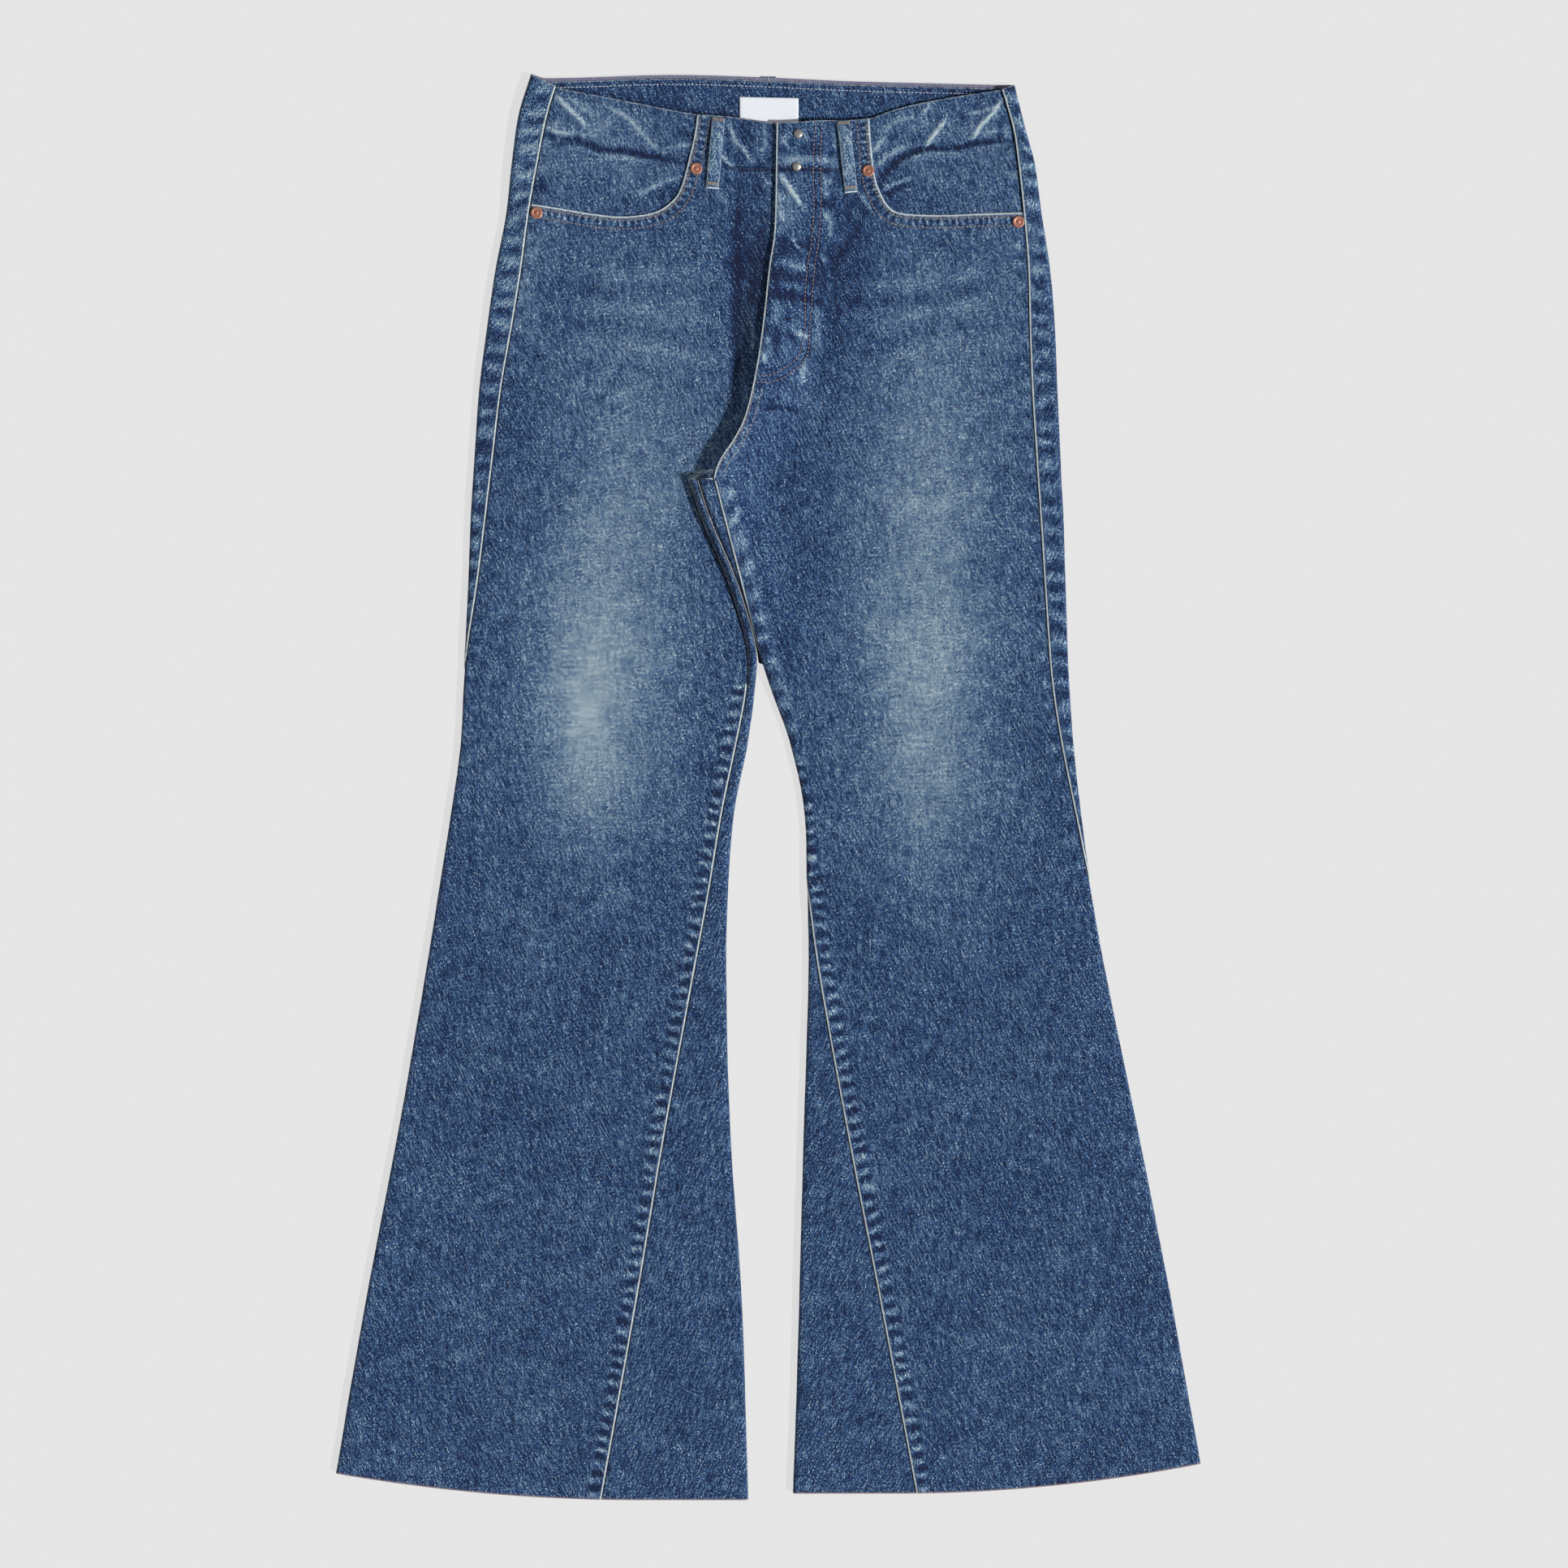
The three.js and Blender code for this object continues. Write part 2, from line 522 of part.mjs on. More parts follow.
// The doubled fly on the wearer's left front, from the fly edge to the curved stitching. It is the front's own
// cloth again, moved out.
function flyBand() {
  const doubled = frontWall(leftLeg, BODY_ROWS.filter((y) => y > FLY.bottom - 30), -STEP_DOWN);
  const widthAtY = (y) => {
    const t = THREE.MathUtils.clamp((y - FLY.bottom) / (FLY.curveFrom - FLY.bottom), 0, 1);
    return FLY.width * Math.sqrt(1 - (1 - t) ** 2);
  };
  const TALLER = 40;
  const curve = evenly(0, 1, 8).map((t) => FLY.bottom + (FLY.curveFrom - FLY.bottom) * t ** 2);
  const stitched = [...curve, TOP_Y].map((y) => [centreFront(y) + widthAtY(y), y]);
  const edge = [TOP_Y + TALLER, FLY.bottom].map((y) => [centreFront(y) - TALLER, y]);
  return toGeometry(toSolid(doubled).intersect(prismOver([...stitched, ...edge])));
}

// The inside facing of the back waist, face up, seen above the front.
function waistFacing() {
  const inside = BACK_LOOP_LIFT + CLOTH + SEAM_GAP;
  const grid = (z) =>
    evenly(0, 1, 4).map((down) =>
      evenly(FACING.right, FACING.left, 18).map(
        (x) => new THREE.Vector3(x, backWaist(x) - FACING.below - down * FACING.depth, z),
      ),
    );
  return wallFromGrid(grid(inside + CLOTH), grid(inside));
}

// The woven label on the facing, left bare.
function label() {
  const seat = BACK_LOOP_LIFT + 2 * (CLOTH + SEAM_GAP);
  const grid = (z) =>
    evenly(LABEL.top - LABEL.depth, LABEL.top, 4).map((y) =>
      evenly(-LABEL.width / 2, LABEL.width / 2, 6).map((x) => new THREE.Vector3(LABEL.x + x, y, z)),
    );
  return wallFromGrid(grid(seat + LABEL.thick), grid(seat));
}

// Height of the uppermost cloth near a place: the highest of the middle and four points around it.
const FROM_ABOVE = 60;
const downwards = new THREE.Raycaster();
function highestCloth(x, y, around) {
  const heights = [[0, 0], [1, 0], [-1, 0], [0, 1], [0, -1]].map(([dx, dy]) => {
    const from = new THREE.Vector3(x + dx * around, y + dy * around, FROM_ABOVE);
    downwards.set(from, new THREE.Vector3(0, 0, -1));
    const [hit] = downwards.intersectObjects(jeans.children);
    return hit ? hit.point.z : 0;
  });
  return Math.max(...heights);
}

// A belt loop, flat at both ends and standing a little off the cloth between them.
function beltLoop({ top, foot }) {
  const SEGMENTS = 8;
  const way = new THREE.Vector2(foot[0] - top[0], foot[1] - top[1]);
  const side = new THREE.Vector2(-way.y, way.x).normalize();
  const along = evenly(0, 1, SEGMENTS);
  const seats = along.map((t) => {
    const middle = [top[0] + way.x * t, top[1] + way.y * t];
    return highestCloth(...middle, BELT_LOOP.width / 2) + SEAM_GAP + BELT_LOOP.slot * Math.sin(Math.PI * t) ** 0.6;
  });
  const grid = (lift) =>
    along.map((t, k) =>
      [-BELT_LOOP.width / 2, BELT_LOOP.width / 2].map(
        (w) => new THREE.Vector3(top[0] + way.x * t + side.x * w, top[1] + way.y * t + side.y * w, seats[k] + lift),
      ),
    );
  return wallFromGrid(grid(BELT_LOOP.thick), grid(0));
}

// The belt loop at the centre back, which the back waist lies on. Its end stands just above the waist edge.
function backLoop() {
  const ABOVE_EDGE = 1.2;
  const { x, width } = BACK_LOOP;
  const top = backWaist(x) + ABOVE_EDGE;
  const shape = new THREE.Shape();
  shape.moveTo(x - width / 2, top);
  shape.lineTo(x - width / 2, top - BELT_LOOP.length);
  shape.lineTo(x + width / 2, top - BELT_LOOP.length);
  shape.lineTo(x + width / 2, top);
  return new THREE.ExtrudeGeometry(shape, { depth: CLOTH, bevelEnabled: false });
}

// A round cap by its outline from the axis to the rim: [share of the radius, share of the height].
function cap({ radius, height }, outline) {
  const SIDES = 20;
  const profile = [[0, 0], [0.9, 0], ...outline, [0, outline.at(-1)[1]]];
  const points = profile.map(([r, h]) => new THREE.Vector2(r * radius, h * height));
  const geometry = new THREE.LatheGeometry(points, SIDES);
  geometry.rotateX(Math.PI / 2);
  return geometry;
}
const RIVET_OUTLINE = [[1, 0.3], [0.95, 0.7], [0.72, 0.85], [0.45, 0.62], [0.3, 0.62], [0.22, 0.95]];
const STUD_OUTLINE = [[1, 0.25], [0.93, 0.55], [0.7, 0.85], [0.35, 1]];

// Materials
const denim = new THREE.MeshStandardMaterial({ color: 0x41628f, roughness: 0.92, metalness: 0 });
const wornDenim = new THREE.MeshStandardMaterial({ color: 0x54769b, roughness: 0.92, metalness: 0 });
const darkDenim = new THREE.MeshStandardMaterial({ color: 0x33507d, roughness: 0.92, metalness: 0 });
const labelCloth = new THREE.MeshStandardMaterial({ color: 0xe8ebf0, roughness: 0.7, metalness: 0 });
const copper = new THREE.MeshStandardMaterial({ color: 0xb0684a, roughness: 0.42, metalness: 0.9 });
const nickel = new THREE.MeshStandardMaterial({ color: 0xb5b2a8, roughness: 0.38, metalness: 0.9 });

const jeans = new THREE.Group();
function add(name, geometry, material, place = [0, 0, 0]) {
  const mesh = new THREE.Mesh(geometry, material);
  mesh.name = name;
  mesh.position.set(...place);
  jeans.add(mesh);
}

add("back_panel_right", backPanel(rightLeg), denim);
add("back_panel_left", backPanel(leftLeg), denim);
add("front_panel_right", frontPanel(rightLeg, RIGHT_MOUTH), denim);
add("front_panel_left", frontPanel(leftLeg, LEFT_MOUTH), denim);
add("pocket_facing_right", pocketFacing(rightLeg, RIGHT_MOUTH), wornDenim);
add("pocket_facing_left", pocketFacing(leftLeg, LEFT_MOUTH), wornDenim);
add("fly_band", flyBand(), denim);
add("waist_facing", waistFacing(), darkDenim);
add("label", label(), labelCloth);
FRONT_LOOPS.forEach((loop) => add(loop.name, beltLoop(loop), wornDenim));
add(BACK_LOOP.name, backLoop(), wornDenim);
RIVETS.forEach(({ name, x, y }) => {
  add(name, cap(RIVET, RIVET_OUTLINE), copper, [x, y, highestCloth(x, y, RIVET.radius) + SEAM_GAP]);
});
STUDS.forEach(({ name, x, y }) => {
  add(name, cap(STUD, STUD_OUTLINE), nickel, [x, y, highestCloth(x, y, STUD.radius) + SEAM_GAP]);
});

// The origin is on the surface, under the middle of the garment's outline.
const outline = new THREE.Box3().setFromObject(jeans);
const middle = outline.getCenter(new THREE.Vector3());
jeans.position.set(-middle.x, -middle.y, 0);

export default jeans;
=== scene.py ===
# %% [markdown]
# # Flared jeans, laid flat
# A pair of washed denim jeans lies on its back on a pale floor, front side up. Each leg is a flat tube. The back
# cloth wraps round both sides of the leg, so a strip of it shows beside every seam, and the front cloth lies on
# top. The frame gives the real sizes. Here every piece gets its finished cloth: soft creases, a twill weave,
# faded thighs, worn seam edges, stitches, rivets and studs.

# %% Load the frame
import math
from collections import namedtuple

import bpy
import numpy as np
from mathutils import Matrix, Vector, noise
from mathutils.geometry import delaunay_2d_cdt


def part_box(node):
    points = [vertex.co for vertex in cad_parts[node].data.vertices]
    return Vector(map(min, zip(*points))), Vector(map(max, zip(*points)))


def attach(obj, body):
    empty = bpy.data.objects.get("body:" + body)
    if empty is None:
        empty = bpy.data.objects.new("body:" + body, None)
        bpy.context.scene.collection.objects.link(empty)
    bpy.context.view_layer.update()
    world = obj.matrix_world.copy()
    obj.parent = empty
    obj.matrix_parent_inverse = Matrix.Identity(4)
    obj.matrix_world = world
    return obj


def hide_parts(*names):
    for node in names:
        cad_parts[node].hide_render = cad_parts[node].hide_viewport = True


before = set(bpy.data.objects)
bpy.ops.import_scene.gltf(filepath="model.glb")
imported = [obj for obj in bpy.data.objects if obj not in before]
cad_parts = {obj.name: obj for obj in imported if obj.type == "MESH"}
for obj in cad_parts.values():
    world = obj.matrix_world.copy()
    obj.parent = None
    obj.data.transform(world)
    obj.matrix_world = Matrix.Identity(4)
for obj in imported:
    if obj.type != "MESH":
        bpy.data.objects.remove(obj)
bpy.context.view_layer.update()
print("frame nodes:", len(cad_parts))

# %% [markdown]
# ## Camera, floor and light
# The photo looks straight down, so the camera hangs above the jeans with a long lens, which keeps the legs from
# spreading. A sun from the lower right casts the shadow of the crotch fold, and a plain bright world fills it.

# %% Camera
MM = 0.001
PHOTO_WIDTH = 1932 * 0.63 * MM  # what the photo's width covers on the floor
LENS = 100
SENSOR = 36
LOOK_AT = Vector((12.2 * MM, 2.1 * MM, 6 * MM))

camera = bpy.data.objects.new("camera", bpy.data.cameras.new("camera"))
bpy.context.collection.objects.link(camera)
camera.data.lens = LENS
camera.data.sensor_width = SENSOR
camera.location = LOOK_AT + Vector((0, 0, PHOTO_WIDTH * LENS / SENSOR))
bpy.context.scene.camera = camera
bpy.context.scene.view_settings.view_transform = "Standard"


# %% Floor and lights
def linear(*srgb):
    """Colour as the renderer wants it, from 0 to 255 values as the eye sees them."""
    return tuple(((v / 255 + 0.055) / 1.055) ** 2.4 if v > 10 else v / 255 / 12.92 for v in srgb) + (1,)


FLOOR_TONE = linear(230, 230, 230)[0]
FLOOR_GLOW = 0.86  # share of the floor's brightness that stays in a shadow
SUN_SHARE = 0.72  # share of the light that comes from the sun
SUN_HEIGHT = math.radians(38)
SUN_FROM = math.radians(-24)  # 0 is from the right, and less is nearer the hems

bpy.ops.mesh.primitive_plane_add(size=14, location=(0, 0, -0.0004))
floor = bpy.context.object
floor.name = "floor"
pale = bpy.data.materials.new("pale_floor")
pale.use_nodes = True
shader = pale.node_tree.nodes["Principled BSDF"]
level = FLOOR_TONE * (1 - FLOOR_GLOW)
shader.inputs["Base Color"].default_value = (level, level, level, 1)
shader.inputs["Roughness"].default_value = 0.9
shader.inputs["Specular IOR Level"].default_value = 0
shader.inputs["Emission Color"].default_value = (1, 1, 1, 1)
shader.inputs["Emission Strength"].default_value = FLOOR_TONE * FLOOR_GLOW
floor.data.materials.append(pale)

sun = bpy.data.objects.new("sun", bpy.data.lights.new("sun", "SUN"))
sun.data.energy = SUN_SHARE * math.pi / math.sin(SUN_HEIGHT)
sun.data.angle = math.radians(4)
towards = Vector((math.cos(SUN_FROM) * math.cos(SUN_HEIGHT), math.sin(SUN_FROM) * math.cos(SUN_HEIGHT),
                  math.sin(SUN_HEIGHT)))
sun.rotation_euler = towards.to_track_quat("Z", "Y").to_euler()
bpy.context.collection.objects.link(sun)

world = bpy.data.worlds.new("studio")
world.use_nodes = True
world.node_tree.nodes["Background"].inputs["Strength"].default_value = 1 - SUN_SHARE
world.node_tree.nodes["Background"].inputs["Color"].default_value = (1, 1, 1, 1)
bpy.context.scene.world = world

# %% [markdown]
# ## The cut of the jeans
# All sizes are in millimetres. A table row is a section across a leg: the place of its two sides, and how far in
# from each side the seam lies, positive on top and negative underneath. A smooth line runs through the rows.

# %% Section tables
Section = namedtuple("Section", "y outer outseam inner inseam", defaults=(None, None))
RIGHT_LEG = [
    Section(555, -184, 22.8),
    Section(523, -194, 22.8),
    Section(485, -199.5, 20.5),
    Section(445, -204, 17.8),
    Section(403, -212, 20.2),
    Section(359, -218.5, 19.6),
    Section(309, -225, 17.4),
    Section(258, -228.5, 14.8),
    Section(239, -229.7, 13.7, -55.4, 7),
    Section(208, -231.5, 11.8, -45.3, 7),
    Section(158, -233.5, 7.5, -24.4, 7),
    Section(107, -235.5, 1.5, -9.8, 7),
    Section(76, -237, -1.5, -10.5, 6.6),
    Section(32, -239.5, -6, -16.5, 8.7),
    Section(-19, -246.5, -13, -26.5, 9.3),
    Section(-82, -256.5, -23, -31.5, 14.8),
    Section(-145, -266.5, -32, -32.8, 25.1),
    Section(-271, -288.5, -49, -29.6, 51.3),
    Section(-397, -312.5, -64, -20.8, 81.2),
    Section(-554, -339.7, -80, -15.8, 114.2),
]
LEFT_LEG = [
    Section(555, 188, 11.4),
    Section(540, 192.2, 10.8),
    Section(510, 199.7, 9.8),
    Section(485, 206.6, 13),
    Section(445, 212.3, 14.2),
    Section(403, 218.6, 17.1),
    Section(359, 222.4, 19.8),
    Section(309, 224.5, 20),
    Section(258, 226.8, 19.1),
    Section(239, 227.5, 18.6, -54.8, 12.5),
    Section(208, 229.3, 18.2, -44.7, 10.4),
    Section(158, 230.8, 16.5, -23.8, 2.6),
    Section(107, 232.5, 14.8, -8, 0),
    Section(76, 234, 13.4, 2.2, -1),
    Section(32, 237, 9.4, 17.6, -2),
    Section(-19, 242.5, 4.6, 28, -1.5),
    Section(-82, 250.8, -1, 30.2, 0.5),
    Section(-145, 262, -10, 30.9, 8.1),
    Section(-271, 287.9, -31, 27.1, 34.6),
    Section(-397, 312.5, -50, 23.9, 62.3),
    Section(-554, 340.8, -66, 18.9, 97),
]
Centre = namedtuple("Centre", "y x lift")
CENTRE_FRONT = [
    Centre(555, 6.6, 1.6),
    Centre(485, 5.7, 2),
    Centre(430, 4.3, 3.5),
    Centre(403, 0.3, 6),
    Centre(359, -4.5, 9.5),
    Centre(323, -9.8, 11.5),
    Centre(287, -18.3, 12.5),
    Centre(269, -27.1, 12.8),
    Centre(254, -37.2, 12.6),
    Centre(239, -42.3, 12),
    Centre(208, -42.3, 10.2),
    Centre(158, -42.3, 7),
    Centre(107, -42.3, 3),
    Centre(76, -42.3, 1),
    Centre(45, -42.3, 0),
    Centre(-554, -42.3, 0),
]
Roll = namedtuple("Roll", "y lift")
THIGH_ROLL = [Roll(239, 10), Roll(208, 8.7), Roll(158, 6.6), Roll(107, 3.5), Roll(76, 1), Roll(45, 0), Roll(-554, 0)]
Back = namedtuple("Back", "y x")
CENTRE_BACK = [Back(555, -0.6), Back(420, -3), Back(359, -7.5), Back(309, -16), Back(270, -31), Back(239, -55.1)]
Edge = namedtuple("Edge", "x y")
FRONT_WAIST = [
    Edge(-195, 548), Edge(-163, 542.3), Edge(-96, 529.4), Edge(-58, 522.2), Edge(-30, 520), Edge(7, 515),
    Edge(40, 517), Edge(77, 518.6), Edge(99, 526), Edge(131, 533.2), Edge(181, 541), Edge(200, 543),
]
BACK_WAIST = [
    Edge(-190, 550.5), Edge(-150, 551), Edge(-74, 553.2), Edge(0, 551.2), Edge(60, 548.4), Edge(140, 546.3),
    Edge(195, 545),
]
RIGHT_MOUTH = [(-55, 523), (-57, 508), (-60.5, 492), (-68, 465), (-76, 453.5), (-90, 445.5), (-114, 442.6),
               (-138, 445), (-175, 451), (-186, 452.5)]
LEFT_MOUTH = [(78, 522), (79.5, 500), (82.5, 474), (87, 461), (93, 450.8), (103, 445.3), (131, 443.7),
              (163, 444.8), (201, 446)]

CLOTH = 1.0
SEAM_GAP = 0.3
STEP_DOWN = CLOTH + SEAM_GAP
LAY = 5.8
FOLD = LAY / 2
QUARTER = FOLD * math.pi / 2
CROTCH_Y = 239
WAIST_BULK = 1.6
LEFT_SLOPE = 52
RIGHT_SLOPE = 19
LAP = 5
STRIP_TOP = {"right": (543.7, 554), "left": (541.2, 545.5)}  # at the outseam and at the side of the body
HEM = {"right": (-553.8, -100, 20.8, 237), "left": (-548.7, 100, 23.3, 236.5)}  # level, bends at, rise, over

# The frame was centred on its own box after it was built, so this is how far it moved.
LABEL_X, LABEL_TOP = 0.5, 535.2
label_low, label_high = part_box("label")
SHIFT = np.array(((label_low[0] + label_high[0]) / 2 - LABEL_X * MM, label_high[1] - LABEL_TOP * MM, 0))
print("frame shift in mm:", (SHIFT / MM).round(2))


# %% Smooth lines through the tables
def through(rows, across, value):
    """A cubic line through the rows of a table, its slope at a row taken from the neighbours."""
    known = sorted((getattr(r, across), getattr(r, value)) for r in rows if getattr(r, value) is not None)
    x, y = np.array(known, float).T
    count = np.arange(len(x))
    after, before = np.minimum(count + 1, len(x) - 1), np.maximum(count - 1, 0)
    slope = (y[after] - y[before]) / (x[after] - x[before])

    def at(place):
        k = np.clip(np.searchsorted(x, place) - 1, 0, len(x) - 2)
        span = x[k + 1] - x[k]
        t = np.clip((place - x[k]) / span, 0, 1)
        u = 1 - t
        bend = span * t * u * (slope[k] * u - slope[k + 1] * t)
        return y[k] * u * u * (1 + 2 * t) + y[k + 1] * t * t * (3 - 2 * t) + bend

    return at


def fading(distance, width):
    """1 at zero, easing to 0 at `width`."""
    t = np.clip(np.asarray(distance, float) / width, 0, 1)
    return (1 - t) ** 2 * (1 + 2 * t)


class Leg:
    def __init__(self, name, rows, inwards):
        self.name = name
        self.inwards = inwards
        self.outer = through(rows, "y", "outer")
        self.outseam = through(rows, "y", "outseam")
        self.inner = through(rows, "y", "inner")
        self.inseam = through(rows, "y", "inseam")

    def width(self, y):
        return np.abs(self.inner(y) - self.outer(y))

    def over_top(self, y):
        """Cloth over the top of the leg, from its outer side to its inner side."""
        return self.width(y) - 2 * FOLD + 2 * QUARTER


right_leg, left_leg = Leg("right", RIGHT_LEG, 1), Leg("left", LEFT_LEG, -1)
centre_front = through(CENTRE_FRONT, "y", "x")
centre_lift = through(CENTRE_FRONT, "y", "lift")
roll_lift = through(THIGH_ROLL, "y", "lift")
centre_back = through(CENTRE_BACK, "y", "x")
front_waist = through(FRONT_WAIST, "x", "y")
back_waist = through(BACK_WAIST, "x", "y")


def hem(leg, x):
    level, bends_at, rise, over = HEM[leg.name]
    return level + rise * (np.maximum(0, np.abs(x) - abs(bends_at)) / over) ** 2


def over_cloth(inset):
    """Length of cloth from the side of a leg to a place that lies `inset` in from it, round the fold."""
    inset = np.asarray(inset, float)
    size = np.abs(inset)
    round_fold = FOLD * np.arccos(1 - np.minimum(size, FOLD) / FOLD)
    return np.sign(inset) * np.where(size > FOLD, size - FOLD + QUARTER, round_fold)


# %% [markdown]
# ## How the cloth lies
# A place on the cloth of a leg is given by how far round it is from the outer side of the leg, positive over the
# top, and by its height on the garment. These functions turn that into a point in space, the same one that the
# frame has, so each sheet of cloth lies exactly where its panel does.

# %% Surface of a leg
def waist_bulk(y):
    return WAIST_BULK * fading(485 - np.asarray(y), 60)


def back_lift(y):
    return STEP_DOWN * fading(488 - np.asarray(y), 90)


def front_top(leg, x, y):
    bulk = LAY + waist_bulk(y)
    if leg is left_leg:
        edge = np.where(y > CROTCH_Y, centre_front(y), leg.inner(y) + np.maximum(leg.inseam(y), 0))
        return bulk + centre_lift(y) * fading(x - edge, LEFT_SLOPE)
    edge = centre_front(y)
    under = bulk + centre_lift(y) * fading(x - edge, LEFT_SLOPE) - STEP_DOWN
    slope = bulk + (centre_lift(y) - STEP_DOWN) * fading(edge - x, RIGHT_SLOPE)
    return np.where(y <= CROTCH_Y, bulk, np.where(x > edge, under, slope))


def section(leg, along, y, strip=False):
    """X and Z of a place on the cloth of a leg. `strip` is the back cloth that wrapped round the inner side."""
    along, y = np.broadcast_arrays(np.asarray(along, float), np.asarray(y, float))
    to_x = lambda inset: leg.outer(y) + leg.inwards * inset
    below = y <= CROTCH_Y
    width, reach = leg.width(y), leg.inseam(y)
    from_inner = np.where(below, leg.over_top(y) - along, np.inf)
    size = np.abs(along)

    turn = np.clip(along / FOLD, -math.pi / 2, math.pi / 2)
    upper = FOLD + (LAY + waist_bulk(y) - FOLD) * np.sin(turn)
    x = to_x(FOLD * (1 - np.cos(turn)))
    z = np.where(along > 0, upper, FOLD * (1 + np.sin(turn)))

    flat = size - QUARTER + FOLD
    x = np.where(size > QUARTER, to_x(flat), x)
    lift = roll_lift(y) if leg is right_leg else centre_lift(y)
    if strip:
        fall = (over_cloth(reach) - from_inner) / FOLD if leg is right_leg else np.full_like(y, math.pi / 2)
        top = LAY + lift * np.sin(np.clip(fall, 0, math.pi / 2))
    else:
        top = front_top(leg, to_x(flat), y)
    z = np.where(size > QUARTER, np.where(along < 0, 0, top), z)

    inner_turn = np.clip(from_inner / FOLD, -math.pi / 2, math.pi / 2)
    in_turn = (np.abs(from_inner) <= QUARTER) & (along > 0)
    past_turn = (from_inner < -QUARTER) & (along > 0)
    x = np.where(in_turn, to_x(width - FOLD * (1 - np.cos(inner_turn))), x)
    z = np.where(in_turn, (LAY + lift) / 2 * (1 + np.sin(inner_turn)), z)
    x = np.where(past_turn, to_x(width - FOLD + from_inner + QUARTER), x)
    z = np.where(past_turn, 0, z)
    return x, z + back_lift(y) * np.maximum(0, 1 - z / LAY)


def outward(leg, along, y, strip=False):
    """X and Z of the direction that points away from the cloth."""
    x0, z0 = section(leg, along - 0.4, y, strip)
    x1, z1 = section(leg, along + 0.4, y, strip)
    size = np.hypot(x1 - x0, z1 - z0) + 1e-9
    return -leg.inwards * (z1 - z0) / size, leg.inwards * (x1 - x0) / size


# %% [markdown]
# ## Creases
# Worn denim is never flat. Each crease is a soft trough or ridge along a short line, placed one by one. The same
# height field moves every layer at a place, so the layers stay clear of each other. Each crease also has a tone:
# the wash takes more colour from a ridge than from a trough, and the darker tone of a trough is also painted shade.

# %% Crease table
def seen(*places):
    """Places on the garment, in millimetres, from where they are seen in the photo, in its pixels."""
    return [((x - 947) * 0.63, (969.5 - y) * 0.63) for x, y in places]


Crease = namedtuple("Crease", "points width height tone")
POCKET_CREASES = [
    # the facing of the wearer's right pocket
    Crease(seen((672, 167), (700, 171), (722, 176), (740, 185), (765, 186), (790, 191), (848, 200)), 2.6, -1.3, -0.34),
    Crease(seen((735, 191), (765, 193), (800, 199)), 3.0, 0.6, 0.14),
    Crease(seen((684, 115), (698, 131), (724, 156)), 1.8, 0.7, 0.34),
    Crease(seen((697, 116), (716, 133), (738, 142)), 2.2, 0.4, 0.16),
    Crease(seen((745, 128), (775, 146), (796, 170), (812, 186)), 2.0, 0.5, 0.22),
    Crease(seen((676, 158), (692, 166), (706, 163)), 2.4, 0.4, 0.20),
    Crease(seen((822, 184), (852, 178)), 1.8, 0.5, 0.20),
    Crease(seen((834, 160), (853, 168)), 2.2, -0.5, -0.18),
    Crease(seen((788, 239), (812, 227), (838, 217)), 1.9, 0.5, 0.20),
    Crease(seen((802, 246), (836, 231)), 4.5, -0.5, -0.13),
    Crease(seen((655, 236), (676, 226)), 4.5, -0.5, -0.20),
    Crease(seen((676, 181), (700, 177)), 2.4, -0.4, -0.14),
    # the facing of the wearer's left pocket
    Crease(seen((1250, 172), (1210, 175), (1185, 180), (1166, 184), (1150, 182), (1135, 184), (1115, 191), (1099, 203),
                (1088, 216), (1084, 230)), 2.3, -1.5, -0.36),
    Crease(seen((1114, 199), (1135, 191), (1180, 188)), 3.2, 0.6, 0.12),
    Crease(seen((1090, 241), (1104, 233), (1118, 226)), 2.4, -0.9, -0.28),
    Crease(seen((1086, 234), (1104, 226), (1124, 219)), 1.7, 0.5, 0.24),
    Crease(seen((1166, 147), (1155, 160), (1145, 174), (1138, 184)), 1.6, 0.9, 0.42),
    Crease(seen((1234, 122), (1224, 139), (1208, 155), (1198, 173)), 1.7, 0.9, 0.42),
    Crease(seen((1147, 128), (1135, 143)), 1.5, 0.5, 0.24),
    Crease(seen((1085, 163), (1106, 149), (1128, 142)), 2.2, 0.5, 0.18),
    Crease(seen((1073, 190), (1092, 168)), 1.7, 0.5, 0.22),
    Crease(seen((1079, 207), (1093, 192), (1118, 179)), 1.8, 0.5, 0.24),
    Crease(seen((1194, 141), (1226, 133)), 1.6, 0.5, 0.22),
    Crease(seen((1210, 166), (1243, 157)), 2.8, 0.4, 0.12),
    Crease(seen((1232, 148), (1231, 178)), 2.4, -0.5, -0.14),
]
J_OUTER = seen((1013, 153), (1011, 192), (1012, 241), (1011, 268), (1008, 303), (1004, 327), (1000, 377), (998, 401),
               (996, 433), (988, 448), (977, 458), (966, 466), (949, 472), (930, 473))
J_INNER = seen((1005, 153), (1003, 179), (1002, 216), (1003, 253), (1000, 298), (995, 327), (992, 364), (992, 401),
               (986, 434), (977, 447), (969, 453), (951, 463), (931, 465))
